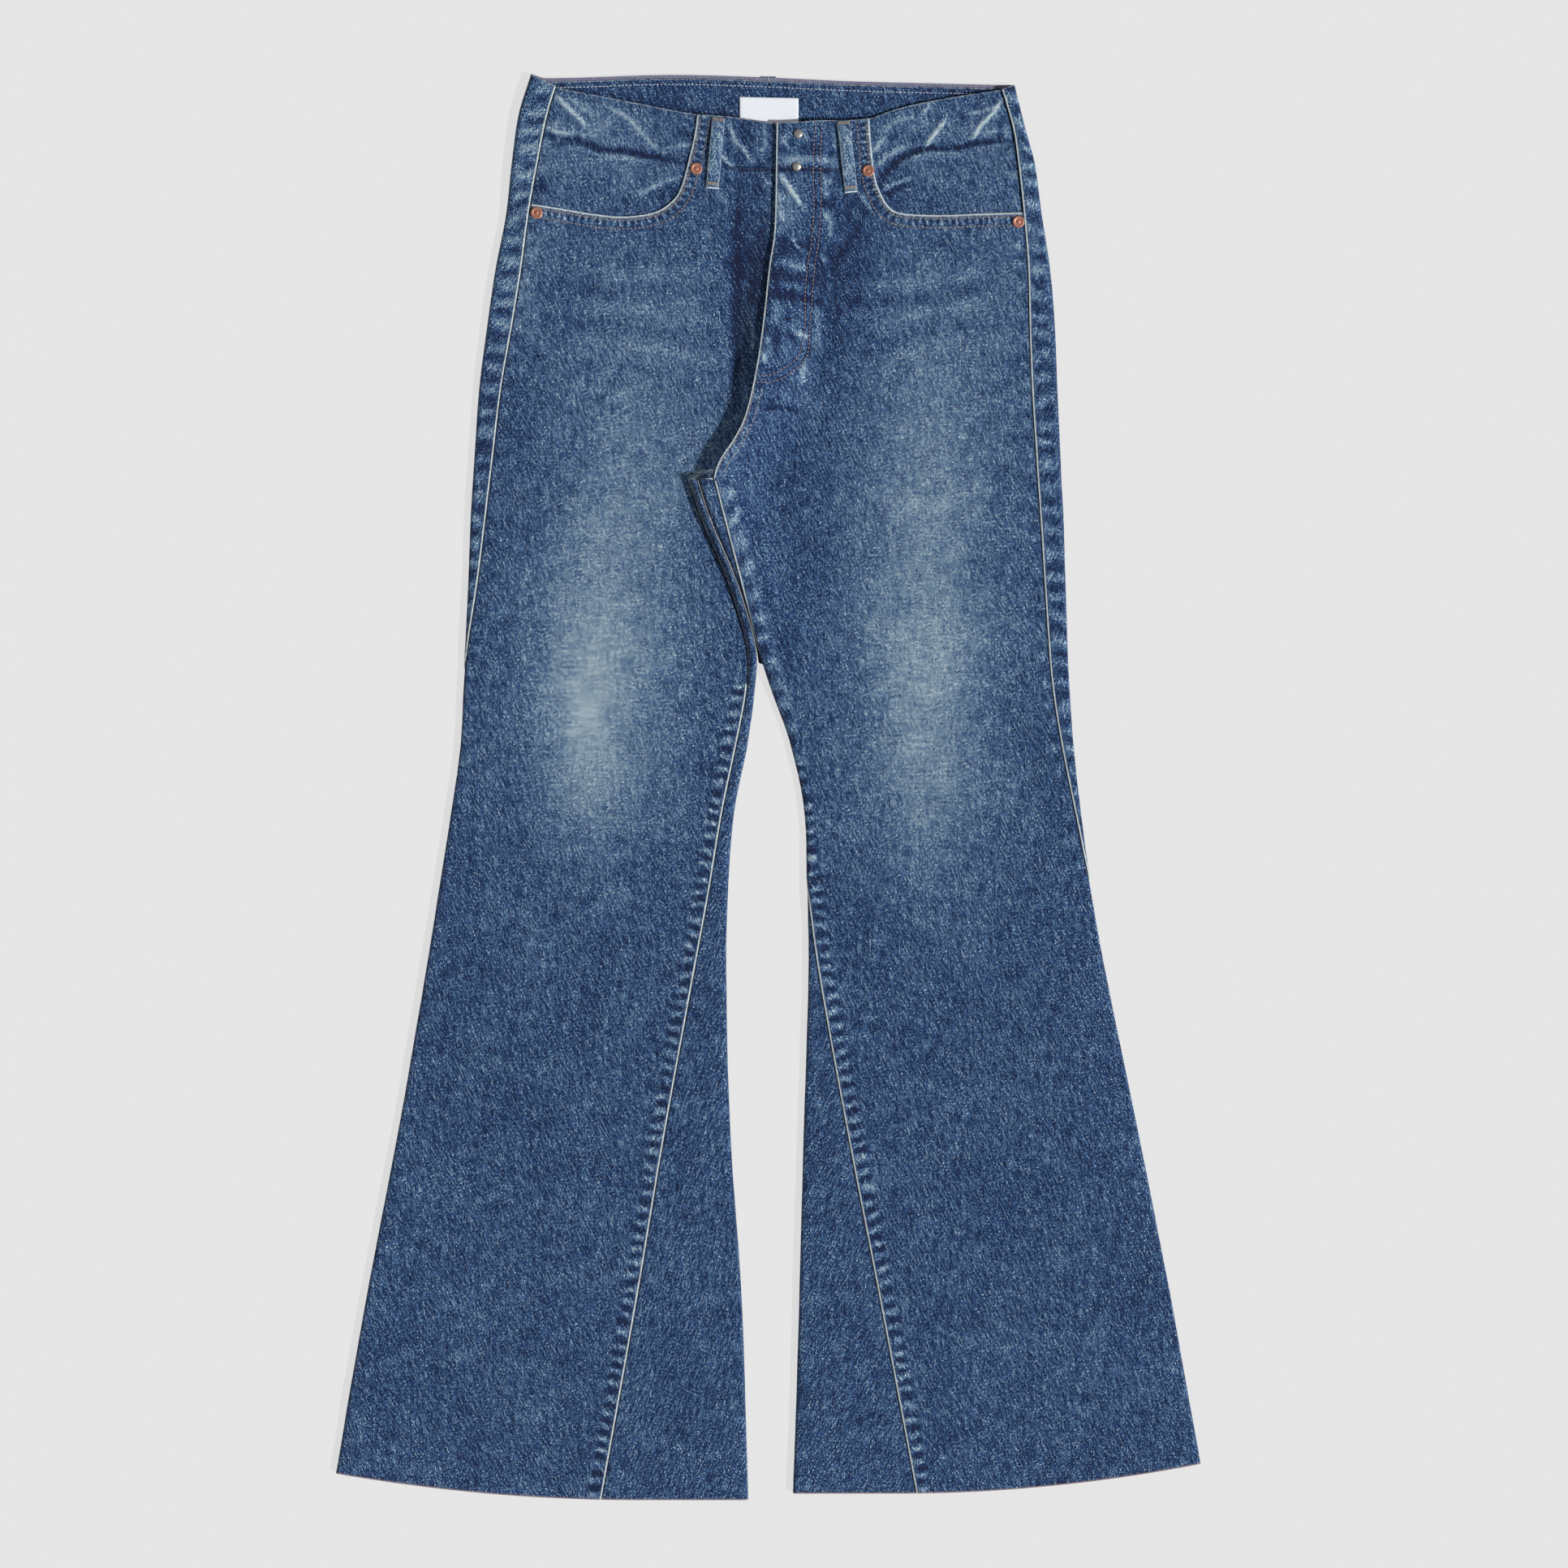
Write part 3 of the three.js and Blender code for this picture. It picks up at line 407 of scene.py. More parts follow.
FLY_CREASES = [
    # the cloth is drawn in along the two curved rows of the fly
    Crease(J_OUTER, 1.1, -0.35, -0.22),
    Crease(J_INNER, 1.1, -0.35, -0.22),
    # beside the fly, on the wearer's right front
    Crease(seen((896, 148), (905, 172), (918, 186), (927, 202)), 1.8, 0.6, 0.32),
    Crease(seen((888, 190), (896, 199), (905, 208)), 1.6, 0.5, 0.32),
    Crease(seen((941, 153), (942, 176), (938, 198)), 2.0, 0.4, 0.18),
    Crease(seen((914, 150), (921, 178)), 3.6, -0.4, -0.12),
    Crease(seen((932, 212), (950, 230)), 1.8, 0.5, 0.22),
    Crease(seen((880, 230), (899, 256)), 2.2, 0.4, 0.14),
    # painted shadow: the dark tone of this trough is the shadow line at the foot of the fold beside the fly
    Crease(seen((909, 240), (907, 330), (906, 420), (906, 506)), 3.4, -1.5, -0.20),
    Crease(seen((920, 376), (926, 404), (928, 440)), 1.6, 0.4, 0.18),
    # the stitched line under the waist, and the doubled fly below it
    Crease(seen((891, 206), (920, 208), (952, 210), (1000, 209), (1046, 212)), 1.5, -0.8, -0.30),
    Crease(seen((958, 200), (990, 197), (1034, 199)), 3.0, 0.6, 0.20),
    Crease(seen((960, 214), (974, 234), (989, 256)), 1.7, 0.9, 0.38),
    Crease(seen((958, 240), (964, 268), (960, 288)), 3.2, 0.5, 0.12),
    Crease(seen((1000, 250), (1030, 254)), 2.8, -0.7, -0.20),
    Crease(seen((954, 296), (978, 304), (1004, 305)), 5.5, -0.9, -0.18),
    Crease(seen((974, 291), (982, 305), (993, 311)), 1.6, 0.8, 0.34),
    Crease(seen((953, 322), (974, 329), (996, 330)), 3.0, 0.9, 0.20),
    Crease(seen((951, 339), (980, 343), (1012, 346)), 3.6, -0.8, -0.16),
    Crease(seen((957, 351), (986, 353)), 2.6, 0.6, 0.15),
    Crease(seen((949, 362), (984, 368), (1012, 373)), 2.8, -1.2, -0.30),
    Crease(seen((957, 366), (955, 402)), 3.2, 0.5, 0.22),
    Crease(seen((966, 396), (986, 388)), 2.0, -0.6, -0.20),
    Crease(seen((970, 408), (984, 430)), 2.6, -0.7, -0.22),
    Crease(seen((983, 411), (997, 417)), 2.0, 0.7, 0.36),
    Crease(seen((960, 398), (955, 442)), 2.2, -0.6, -0.16),
    Crease(seen((946, 414), (941, 452)), 2.6, 0.5, 0.22),
    Crease(seen((992, 444), (987, 476)), 3.2, 0.6, 0.22),
    Crease(seen((1014, 260), (1024, 274), (1022, 296)), 2.0, 0.6, 0.24),
    Crease(seen((1009, 310), (1020, 327)), 2.0, 0.6, 0.24),
    Crease(seen((1010, 376), (1006, 432)), 3.2, 0.6, 0.16),
    Crease(seen((1008, 296), (1009, 340)), 3.0, -0.6, -0.14),
    Crease(seen((1018, 216), (1016, 244)), 3.2, 0.5, 0.14),
    Crease(seen((1058, 238), (1076, 262)), 1.7, 0.5, 0.22),
    Crease(seen((1062, 276), (1020, 330)), 3.4, -0.6, -0.10),
    Crease(seen((985, 178), (1012, 190)), 3.6, -0.6, -0.14),
    Crease(seen((962, 168), (972, 184)), 1.8, 0.5, 0.20),
    Crease(seen((990, 158), (993, 176)), 1.8, 0.4, 0.16),
    Crease(seen((1026, 160), (1030, 186)), 2.0, 0.4, 0.16),
    Crease(seen((940, 505), (962, 503), (985, 507)), 2.0, -0.8, -0.24),
    # the rolled end of the seam at the crotch
    Crease(seen((851, 607), (852, 592), (862, 583), (881, 580)), 1.5, 0.5, 0.34),
    Crease(seen((857, 606), (872, 592), (884, 600)), 1.4, -0.4, -0.18),
]
HIP_CREASES = [
    # soft whiskers across both hips, and creases at the sides of the seat
    Crease(seen((672, 332), (780, 338), (885, 330)), 4.5, 0.3, 0.05),
    Crease(seen((668, 352), (770, 360), (880, 356)), 3.8, -0.4, -0.05),
    Crease(seen((690, 374), (790, 384), (890, 392)), 4.2, 0.4, 0.06),
    Crease(seen((670, 396), (770, 404), (872, 420)), 4.0, -0.4, -0.05),
    Crease(seen((700, 418), (790, 428), (880, 446)), 4.4, 0.4, 0.06),
    Crease(seen((680, 446), (780, 452), (850, 468)), 5.0, -0.3, -0.04),
    Crease(seen((1232, 330), (1140, 346), (1060, 352)), 4.4, 0.4, 0.06),
    Crease(seen((1236, 352), (1140, 366), (1056, 376)), 4.0, -0.4, -0.06),
    Crease(seen((1232, 372), (1150, 384), (1050, 404)), 4.4, 0.4, 0.07),
    Crease(seen((1240, 398), (1150, 408), (1056, 430)), 4.0, -0.4, -0.06),
    Crease(seen((1225, 424), (1150, 430), (1064, 452)), 4.6, 0.4, 0.06),
    Crease(seen((1268, 436), (1240, 452)), 6.0, -0.6, -0.10),
    Crease(seen((646, 430), (668, 442)), 5.0, -0.6, -0.10),
]
LEG_CREASES = [
    # the seam allowance that shows through beside the wearer's left inseam, and long soft folds in the legs
    Crease(seen((902, 600), (922, 690), (946, 780), (966, 850), (990, 930)), 2.4, 0.5, 0.13),
    Crease(seen((912, 600), (934, 690), (958, 780), (982, 860)), 3.4, -0.4, -0.06),
    Crease(seen((900, 640), (910, 700)), 4.0, 0.3, 0.08),
    Crease(seen((860, 940), (884, 960)), 3.0, -0.5, -0.16),
    Crease(seen((700, 640), (760, 660), (820, 656)), 7.0, 0.5, 0.02),
    Crease(seen((1080, 610), (1150, 626), (1225, 618)), 7.0, 0.5, 0.03),
    Crease(seen((640, 1180), (720, 1120), (790, 1090)), 9.0, 0.6, 0.02),
    Crease(seen((1060, 1090), (1140, 1130), (1230, 1210)), 9.0, 0.6, 0.02),
    Crease(seen((560, 1420), (640, 1370), (700, 1350)), 10.0, -0.5, -0.02),
    Crease(seen((1240, 1350), (1310, 1390), (1370, 1450)), 10.0, -0.5, -0.02),
    Crease(seen((1040, 1430), (1075, 1450), (1110, 1445)), 9.0, 0.5, 0.03),
    Crease(seen((520, 1650), (620, 1690), (700, 1700)), 11.0, 0.5, 0.02),
    Crease(seen((1180, 1640), (1290, 1660), (1380, 1640)), 11.0, 0.5, 0.02),
]
CREASES = POCKET_CREASES + FLY_CREASES + HIP_CREASES + LEG_CREASES


def profile(x, y, points, width):
    """How much of a crease is at a place: 1 on its line, fading to the sides and to both ends."""
    points = np.array(points, float)
    lengths = np.hypot(*np.diff(points, axis=0).T)
    total, done = lengths.sum(), 0
    best, where = np.full(x.shape, 1e9), np.zeros(x.shape)
    for (ax, ay), (bx, by), length in zip(points[:-1], points[1:], lengths):
        t = np.clip(((x - ax) * (bx - ax) + (y - ay) * (by - ay)) / length**2, 0, 1)
        gap = np.hypot(x - ax - t * (bx - ax), y - ay - t * (by - ay))
        where = np.where(gap < best, (done + t * length) / total, where)
        best = np.minimum(gap, best)
        done += length
    ends = np.clip(np.minimum(where, 1 - where) * 5, 0, 1)
    return np.exp(-((best / width) ** 2)) * (0.25 + 0.75 * ends)


def waves(x, y, pitch, seed):
    """Smooth random waves of about `pitch` mm, from -1 to 1."""
    return np.array([noise.noise(Vector((a / pitch, b / pitch, seed))) for a, b in zip(x, y)])


CREASE_WASH_AND_SHADE = 1.55  # how strongly the creases are toned: paler wash on the ridges, painted shade in the troughs


def creases_at(x, y):
    height, tone = np.zeros_like(x), np.zeros_like(x)
    for crease in CREASES:
        places = np.array(crease.points)
        low, high = places.min(axis=0) - 3 * crease.width, places.max(axis=0) + 3 * crease.width
        near = (x > low[0]) & (x < high[0]) & (y > low[1]) & (y < high[1])
        if near.any():
            here = profile(x[near], y[near], crease.points, crease.width)
            height[near] += crease.height * here
            tone[near] += CREASE_WASH_AND_SHADE * crease.tone * here
    return height, tone


def tone_patches_at(x, y):
    """How much colour the wash took: pale thighs and knees, and soft whiskers at the hips. A few patches are
    painted shade and painted light instead, beside the fly fold and in the crotch fold's shadow.
    """
    tone = np.zeros_like(x)
    for tone_patch in TONE_PATCHES:
        tilt = math.radians(tone_patch.tilt)
        a = ((x - tone_patch.x) * math.cos(tilt) + (y - tone_patch.y) * math.sin(tilt)) / tone_patch.across
        b = (-(x - tone_patch.x) * math.sin(tilt) + (y - tone_patch.y) * math.cos(tilt)) / tone_patch.down
        tone += tone_patch.tone * np.exp(-(a * a + b * b))
    return tone


Fade = namedtuple("Fade", "x y across down tilt tone")
TONE_PATCHES = [
    Fade(-140, 70, 30, 78, 0, 0.20),
    Fade(-128, 90, 68, 125, -6, 0.22),
    Fade(-102, 250, 60, 112, -8, 0.145),
    Fade(118, 75, 34, 95, 0, 0.13),
    Fade(124, 80, 66, 140, 0, 0.19),
    Fade(122, 250, 60, 110, 0, 0.16),
    Fade(-100, 370, 90, 70, 0, 0.05),
    Fade(130, 375, 75, 70, 0, 0.06),
    Fade(-140, 500, 62, 34, 0, 0.145),
    Fade(150, 500, 60, 34, 0, 0.10),
    Fade(-190, 425, 22, 95, 0, 0.12),
    Fade(196, 420, 26, 120, 0, 0.05),
    Fade(0, 330, 240, 210, 0, 0.028),
    # painted shade: darker cloth in the shade of the fold beside the fly
    Fade(-12, 390, 20, 66, 0, -0.26),
    Fade(54, 395, 26, 62, 0, -0.21),
    Fade(10, 395, 12, 30, 0, -0.13),
    Fade(128, -22, 42, 48, 0, 0.09),
    Fade(-132, 8, 42, 44, 0, 0.09),
    Fade(-194, 296, 18, 46, 0, -0.05),
    Fade(22, 350, 14, 26, 0, 0.18),
    Fade(14, 444, 11, 22, 0, 0.14),
    Fade(42, 450, 10, 26, 0, 0.12),
    # painted light: paler cloth on the slope beside the fly fold, inside the sun's shadow
    Fade(-14, 345, 6, 52, 3, 0.05),
    # painted shade: darker cloth in the shadow of the crotch fold
    Fade(-34, 175, 13, 46, 20, -0.07),
    Fade(20, 240, 40, 90, 0, -0.05),
    Fade(80, 330, 40, 46, 0, -0.03),
]

# %% [markdown]
# ## A sheet of cloth
# A maker cuts a flat shape and then lays it. So does this: the outline is drawn on the flat cloth, filled with
# points, closer together beside the edges, joined into triangles, and laid by a function. The distance to each
# kind of edge is kept on every point, because the finish needs it: a lapping edge is worn white, the cloth under
# it lies in a groove painted dark as shade, and a cut edge shows its fibres.

# %% Cloth maker
Side = namedtuple("Side", "kind points pitch reach puckers", defaults=(10.5, 10, 0))
KINDS = ("lap", "under", "raw", "turned", "ridge", "frayed")  # a "cut" side has no finish of its own
FAR = 60.0


def spread(points, step):
    """The same line with points about `step` apart."""
    points = np.array(points, float)
    place = np.concatenate([[0], np.cumsum(np.hypot(*np.diff(points, axis=0).T))])
    at = np.linspace(0, place[-1], max(2, round(place[-1] / step) + 1))
    return np.stack([np.interp(at, place, points[:, k]) for k in (0, 1)], axis=1)


def beside(line, away):
    """A line moved sideways, to its left."""
    line = np.array(line, float)
    ahead = np.gradient(line, axis=0)
    ahead /= np.hypot(*ahead.T)[:, None] + 1e-9
    return line + away * np.stack([-ahead[:, 1], ahead[:, 0]], axis=1)


def distance_to(u, v, line):
    """Distance from every place to a line, and how far along the line its nearest point is."""
    best, where, done = np.full(u.shape, FAR), np.zeros(u.shape), 0.0
    for (ax, ay), (bx, by) in zip(line[:-1], line[1:]):
        length = math.hypot(bx - ax, by - ay)
        near = np.flatnonzero((np.abs(u - ax) < FAR) & (np.abs(v - ay) < FAR)) if length > 1e-6 else []
        if len(near):
            t = np.clip(((u[near] - ax) * (bx - ax) + (v[near] - ay) * (by - ay)) / length**2, 0, 1)
            gap = np.hypot(u[near] - ax - t * (bx - ax), v[near] - ay - t * (by - ay))
            closer = gap < best[near]
            best[near[closer]] = gap[closer]
            where[near[closer]] = done + (t * length)[closer]
        done += length
    return best, where


def inside(u, v, loop):
    hit = np.zeros(u.shape, bool)
    for (ax, ay), (bx, by) in zip(loop, np.roll(loop, -1, axis=0)):
        if ay != by:
            hit ^= ((ay > v) != (by > v)) & (u < (bx - ax) * (v - ay) / (by - ay) + ax)
    return hit


def fill_points(loop, pitch, rings, folds):
    """Points inside an outline: rings beside its edge, an even field in the middle, and places on tall folds."""
    ahead = np.roll(loop, -1, axis=0) - np.roll(loop, 1, axis=0)
    area = np.sum(loop[:, 0] * np.roll(loop[:, 1], -1) - np.roll(loop[:, 0], -1) * loop[:, 1])
    inwards = np.stack([-ahead[:, 1], ahead[:, 0]], axis=1) * np.sign(area)
    inwards /= np.hypot(*inwards.T)[:, None] + 1e-9
    closed = np.vstack([loop, loop[:1]])
    made = []
    for ring in rings:
        points = loop + inwards * ring
        gap, _ = distance_to(*points.T, closed)
        made.append(points[(gap > 0.85 * ring) & inside(*points.T, loop)])
    low, high = loop.min(axis=0), loop.max(axis=0)
    rows = enumerate(np.arange(low[1], high[1], pitch * 0.87))
    field = np.array([(u + k % 2 * pitch / 2, v) for k, v in rows for u in np.arange(low[0], high[0], pitch)])
    gap, _ = distance_to(*field.T, closed)
    made.append(field[(gap > rings[-1] + 0.6 * pitch) & inside(*field.T, loop)])
    if len(folds):
        folds = np.array(folds, float)
        gap, _ = distance_to(*folds.T, closed)
        made.append(folds[(gap > 0.5) & inside(*folds.T, loop)])
    return np.vstack(made)


def read_sides(u, v, sides):
    """What the finish needs to know at every place: the distance to each kind of side, how far along the nearest
    seam the place is, and how strongly the seam puckers there."""
    known = {kind: np.full(u.shape, FAR) for kind in KINDS}
    known |= {name: np.zeros(u.shape) for name in ("run", "beat", "pucker")}
    nearest = np.full(u.shape, FAR)
    for side, line in sides:
        gap, run = distance_to(u, v, line)
        if side.kind in known:
            known[side.kind] = np.minimum(known[side.kind], gap)
        if side.kind == "frayed":
            known["lap"] = np.minimum(known["lap"], gap)
        if side.kind in ("lap", "under", "frayed"):
            closer = gap < nearest
            nearest = np.where(closer, gap, nearest)
            known["run"] = np.where(closer, run, known["run"])
            known["beat"] = np.where(closer, run / side.pitch, known["beat"])
            band = np.clip((gap - 1.6) / 1.2, 0, 1) * np.clip((side.reach - gap) / 2.4, 0, 1)
            known["pucker"] = np.where(closer, side.puckers * band, known["pucker"])
    return known


def cut_cloth(name, sides, lay, pitch=4.4, step=1.9, rings=(0.8, 2.2, 4.2, 6.4, 8.8), thickness=CLOTH, flip=False,
              folds=()):
    """Cuts a sheet and lays it. sides is a closed chain round the flat cloth, and lay gives the point in space, in
    millimetres, and the tone for every place on it: the wash, and in places painted shade and painted light."""
    sides = [(side, spread(side.points, step)) for side in sides]
    loop = np.vstack([line[:-1] for _, line in sides])
    points = np.vstack([loop, fill_points(loop, pitch, rings, folds)])
    ring = [(k, (k + 1) % len(loop)) for k in range(len(loop))]
    made = delaunay_2d_cdt([Vector(p) for p in points], ring, [], 1, 1e-5)
    flat = np.array([tuple(p) for p in made[0]])
    faces = np.array(made[2])
    a, b, c = (flat[faces[:, k]] for k in range(3))
    turned = (b[:, 0] - a[:, 0]) * (c[:, 1] - a[:, 1]) < (c[:, 0] - a[:, 0]) * (b[:, 1] - a[:, 1])
    faces[turned != flip] = faces[turned != flip][:, ::-1]
    known = read_sides(*flat.T, sides)
    place, tone = lay(*flat.T, known)
    mesh = bpy.data.meshes.new(name)
    mesh.from_pydata((place * MM + SHIFT).tolist(), [], faces.tolist())
    corners = np.zeros(len(mesh.loops), int)
    mesh.loops.foreach_get("vertex_index", corners)
    mesh.uv_layers.new(name="cloth").data.foreach_set("uv", (flat[corners] * MM).ravel())
    for key, values in (known | {"tone": tone}).items():
        mesh.attributes.new(key, "FLOAT", "POINT").data.foreach_set("value", values)
    piece = bpy.data.objects.new(name, mesh)
    bpy.context.collection.objects.link(piece)
    only(piece)
    wall = piece.modifiers.new("wall", "SOLIDIFY")
    wall.thickness = thickness * MM
    wall.offset = -1
    bpy.ops.object.modifier_apply(modifier="wall")
    bpy.ops.object.shade_smooth_by_angle(angle=math.radians(60))
    print(name, "triangles:", sum(len(p.vertices) - 2 for p in piece.data.polygons))
    return piece


def only(piece):
    bpy.ops.object.select_all(action="DESELECT")
    piece.select_set(True)
    bpy.context.view_layer.objects.active = piece


# %% [markdown]
# ## Relief of the cloth
# Every sheet of the upper side takes the same relief at the same place, moved straight out of its surface. Beside
# a lapping edge the cloth swells over the seam allowance, and its last millimetre rolls down. The cloth under such
# an edge dips. The underside rests on the floor, so its creases only go inwards.

# %% Relief
SWELL, DIP, ROLL_OFF = 0.45, 0.35, 0.25


def seam_relief(known, flatness=1.0):
    swell = SWELL * fading(known["lap"], 10) + 0.6 * SWELL * fading(known["turned"], 7)
    rolled = ROLL_OFF * (fading(known["lap"], 0.75) + fading(known["turned"], 0.75))
    puckers = 0.32 * known["pucker"] * np.sin(2 * math.pi * known["beat"]) * flatness
    return swell - rolled - DIP * fading(known["under"], 5) + puckers


def draped(x, y, z, out_x, out_z, known, calm=1.0):
    """Moves a laid surface by its relief. Returns the points and the tone: the wash, with painted shade and light in
    places.
    """
    height, tone = creases_at(x, y)
    slow, quick = waves(x, y, 62, 3), waves(x, y, 19, 8)
    upper = 0.45 * slow + 0.22 * quick + height
    lower = -0.5 * np.abs(waves(x, y, 75, 21)) - 0.15
    facing_up = np.clip(0.5 + out_z, 0, 1)
    relief = facing_up * upper + (1 - facing_up) * np.minimum(lower, 0) * np.clip(-out_z, 0, 1)
    flatness = np.clip(out_z, 0, 1) ** 4
    relief = (relief + seam_relief(known, flatness) * np.where(out_z < -0.5, 0.3, 1)) * calm
    top_only = np.clip(out_z, 0, 1)
    tone = (tone + tone_patches_at(x, y)) * top_only + 0.05 * quick
    return np.stack([x + out_x * relief, y, np.maximum(z + out_z * relief, 0)], axis=1), tone


# %% [markdown]
# ## Front panels
# Each front is one sheet. Its flat outline runs along the hem, up the inseam, over the crotch to the fly, along
# the waist, round the pocket mouth and down the outseam. In the lower leg the outseam lies on the underside, so
# the sheet goes round the side of the leg.

# %% Outlines of the fronts
BEND = QUARTER - FOLD
GAP = SEAM_GAP / 2


def flat_u(leg, along, y):
    """Across the flat front cloth: equal to X where the cloth lies on top."""
    return leg.outer(y) + leg.inwards * (along - BEND)


def along_from(leg, u, y):
    return leg.inwards * (u - leg.outer(y)) + BEND


def fold_places(leg, every=3.2):
    """Places on the flat cloth that lie round the outer fold of a leg, and round the inner one below the crotch."""
    made = []
    for y in np.arange(-552, 553, every):
        around = np.linspace(-QUARTER, QUARTER, 7)
        made += [(float(flat_u(leg, a, y)), y) for a in around]
        if y < CROTCH_Y:
            made += [(float(flat_u(leg, leg.over_top(y) + a, y)), y) for a in around]
    return made


def crease_places(creases, every=1.7):
    """Places on narrow creases and beside them, so that the cloth follows their shape."""
    made = []
    for crease in creases:
        line = spread(crease.points, every)
        for share in (-1.5, -0.75, 0, 0.75, 1.5):
            made += [tuple(p) for p in beside(line, share * crease.width)]
    return made


def front_start(leg, y):
    return over_cloth(leg.outseam(y) + GAP)


def front_end(leg, y):
    return leg.over_top(y) - over_cloth(leg.inseam(y) + GAP)


def hem_line(leg, along_of, count=150):
    """Points of the hem on the flat cloth, from its first side to its last one."""
    points = []
    for share in np.linspace(0, 1, count):
        y = np.float64(HEM[leg.name][0])
        for _ in range(5):
            x, _ = section(leg, along_of(y, share), y)
            y = hem(leg, x)
        points.append((float(flat_u(leg, along_of(y, share), y)), float(y)))
    return points


def smooth_curve(points, steps=60):
    """A Catmull-Rom curve through the points."""
    points = np.array(points, float)
    padded = np.vstack([points[:1], points, points[-1:]])
    made = []
    for place in np.linspace(0, len(points) - 1, steps):
        k = min(int(place), len(points) - 2)
        t = place - k
        p0, p1, p2, p3 = padded[k : k + 4]
        bend = (2 * p0 - 5 * p1 + 4 * p2 - p3) * t * t + (3 * p1 - p0 - 3 * p2 + p3) * t**3
        made.append((2 * p1 + (p2 - p0) * t + bend) / 2)
    return np.array(made)


def outseam_x(leg, y):
    return leg.outer(y) + leg.inwards * (leg.outseam(y) + GAP)


def mouth_line(leg, mouth):
    """The pocket mouth between the waist edge and the outseam."""
    line = smooth_curve(mouth, 160)
    keep = (line[:, 1] < front_waist(line[:, 0])) & (leg.inwards * (line[:, 0] - outseam_x(leg, line[:, 1])) > 0)
    return line[keep]


TUCKED_FROM = 83  # above this the roll at the right thigh hides the inseam
LARGE_PUCKERS_FROM = 20


def front_sides(leg, mouth):
    lap = LAP if leg is right_leg else GAP
    line = mouth_line(leg, mouth)
    low = np.arange(-553, CROTCH_Y - 0.3, 3.0)
    low = low[low > hem(leg, np.float64(leg.inner(-554.0))) + 1]
    rise = np.append(np.arange(CROTCH_Y + 0.3, 514, 3.0), 514)
    top_x = np.linspace(centre_front(515.0) + lap, line[0, 0], 40)
    bottom = hem_line(leg, lambda y, s: front_start(leg, y) + s * (front_end(leg, y) - front_start(leg, y)))
    inseam = [bottom[-1]] + [(flat_u(leg, front_end(leg, y), y), y) for y in low]
    hidden = TUCKED_FROM if leg is right_leg else LARGE_PUCKERS_FROM
    lower = [p for p in inseam if p[1] < hidden]
    upper = [lower[-1]] + [p for p in inseam if p[1] >= hidden]
    tucked = Side("under", upper) if leg is right_leg else Side("lap", upper, 19, 14, 0.6)
    centre = [(centre_front(y) + lap, y) for y in rise]
    waist = [(x, front_waist(x)) for x in top_x]
    side_y = np.arange(line[-1, 1], bottom[0][1] + 1, -3.0)
    outseam = [(flat_u(leg, front_start(leg, y), y), y) for y in side_y]
    fly_kind = "cut" if leg is right_leg else "lap"
    return [
        Side("raw", bottom),
        Side("lap", lower, 10.8, 11.5, 1),
        tucked,
        Side("cut", [inseam[-1], centre[0]]),
        Side(fly_kind, centre + [waist[0]], 14, 8, 0.35),
        Side("turned", waist + [tuple(line[0])]),
        Side("frayed", line, 5.3, 9.4, 0.75),
        Side("under", [tuple(line[-1])] + outseam + [bottom[0]], 18, 9, 0.35),
    ]


POCKET_ROWS = (3.0, 9.6)  # distances of the two rows of stitches from a pocket's edge
FLY_WIDTH, FLY_CURVE_FROM, FLY_BOTTOM = 36, 370, 311


def on_fly(x, y):
    """1 on the doubled fly of the wearer's left front, easing to 0 past its curved stitching."""
    t = np.clip((y - FLY_BOTTOM) / (FLY_CURVE_FROM - FLY_BOTTOM), 0, 1)
    width = FLY_WIDTH * np.sqrt(1 - (1 - t) ** 2)
    past_side = x - centre_front(y) - width
    past = np.maximum(past_side, FLY_BOTTOM - y)
    return fading(past + 1, 4)


def lay_front(leg, sink=0.0):
    def lay(u, v, known):
        along = along_from(leg, u, v)
        x, z = section(leg, along, v)
        out_x, out_z = outward(leg, along, v)
        if leg is left_leg and not sink:
            raised = STEP_DOWN * on_fly(x, v)
            x, z = x + out_x * raised, z + out_z * raised
        x, z = x - out_x * sink, z - out_z * sink
        return draped(x, v, z, out_x, out_z, known)

    return lay


# %% Cut and lay the fronts
fronts = {}
for leg, mouth in ((right_leg, RIGHT_MOUTH), (left_leg, LEFT_MOUTH)):
    fronts[leg.name] = cut_cloth(f"front_{leg.name}_cloth", front_sides(leg, mouth), lay_front(leg),
                                 folds=fold_places(leg) + crease_places(FLY_CREASES))

# %% [markdown]
# ## Pocket facings and the inside of the fly
# The facing is the cloth that shows inside a pocket mouth. It lies one step under the front and reaches a little
# past the mouth. The fly has a second layer inside, which shows as a second edge under the fly's own.

# %% Facings
FACING_LAP = 12


def facing_sides(leg, mouth):
    line = mouth_line(leg, mouth)
    ahead = np.gradient(line, axis=0)
    ahead /= np.hypot(*ahead.T)[:, None]
    away = np.stack([ahead[:, 1], -ahead[:, 0]], axis=1) * -leg.inwards
    lower = line + away * FACING_LAP
    lower = lower[lower[:, 1] < front_waist(lower[:, 0])]
    side_x = lambda y: outseam_x(leg, y)
    lower = lower[leg.inwards * (lower[:, 0] - side_x(lower[:, 1])) > 0]
    side_y = np.arange(lower[-1, 1], 600, 3.0)
    side_y = side_y[side_y < front_waist(side_x(side_y)) - 0.5]
    side = [(side_x(y), y) for y in side_y]
    top = [(x, front_waist(x)) for x in np.linspace(side[-1][0], lower[0, 0], 60)]
    return [
        Side("cut", lower),
        Side("under", [tuple(lower[-1])] + side + [top[0]], 18, 9, 0.3),
        Side("turned", top + [tuple(lower[0])]),
    ]


facings = {}
for leg, mouth in ((right_leg, RIGHT_MOUTH), (left_leg, LEFT_MOUTH)):
    name = f"pocket_facing_{leg.name}_cloth"
    facings[leg.name] = cut_cloth(name, facing_sides(leg, mouth), lay_front(leg, STEP_DOWN), pitch=3.4,
                                  folds=crease_places(POCKET_CREASES))

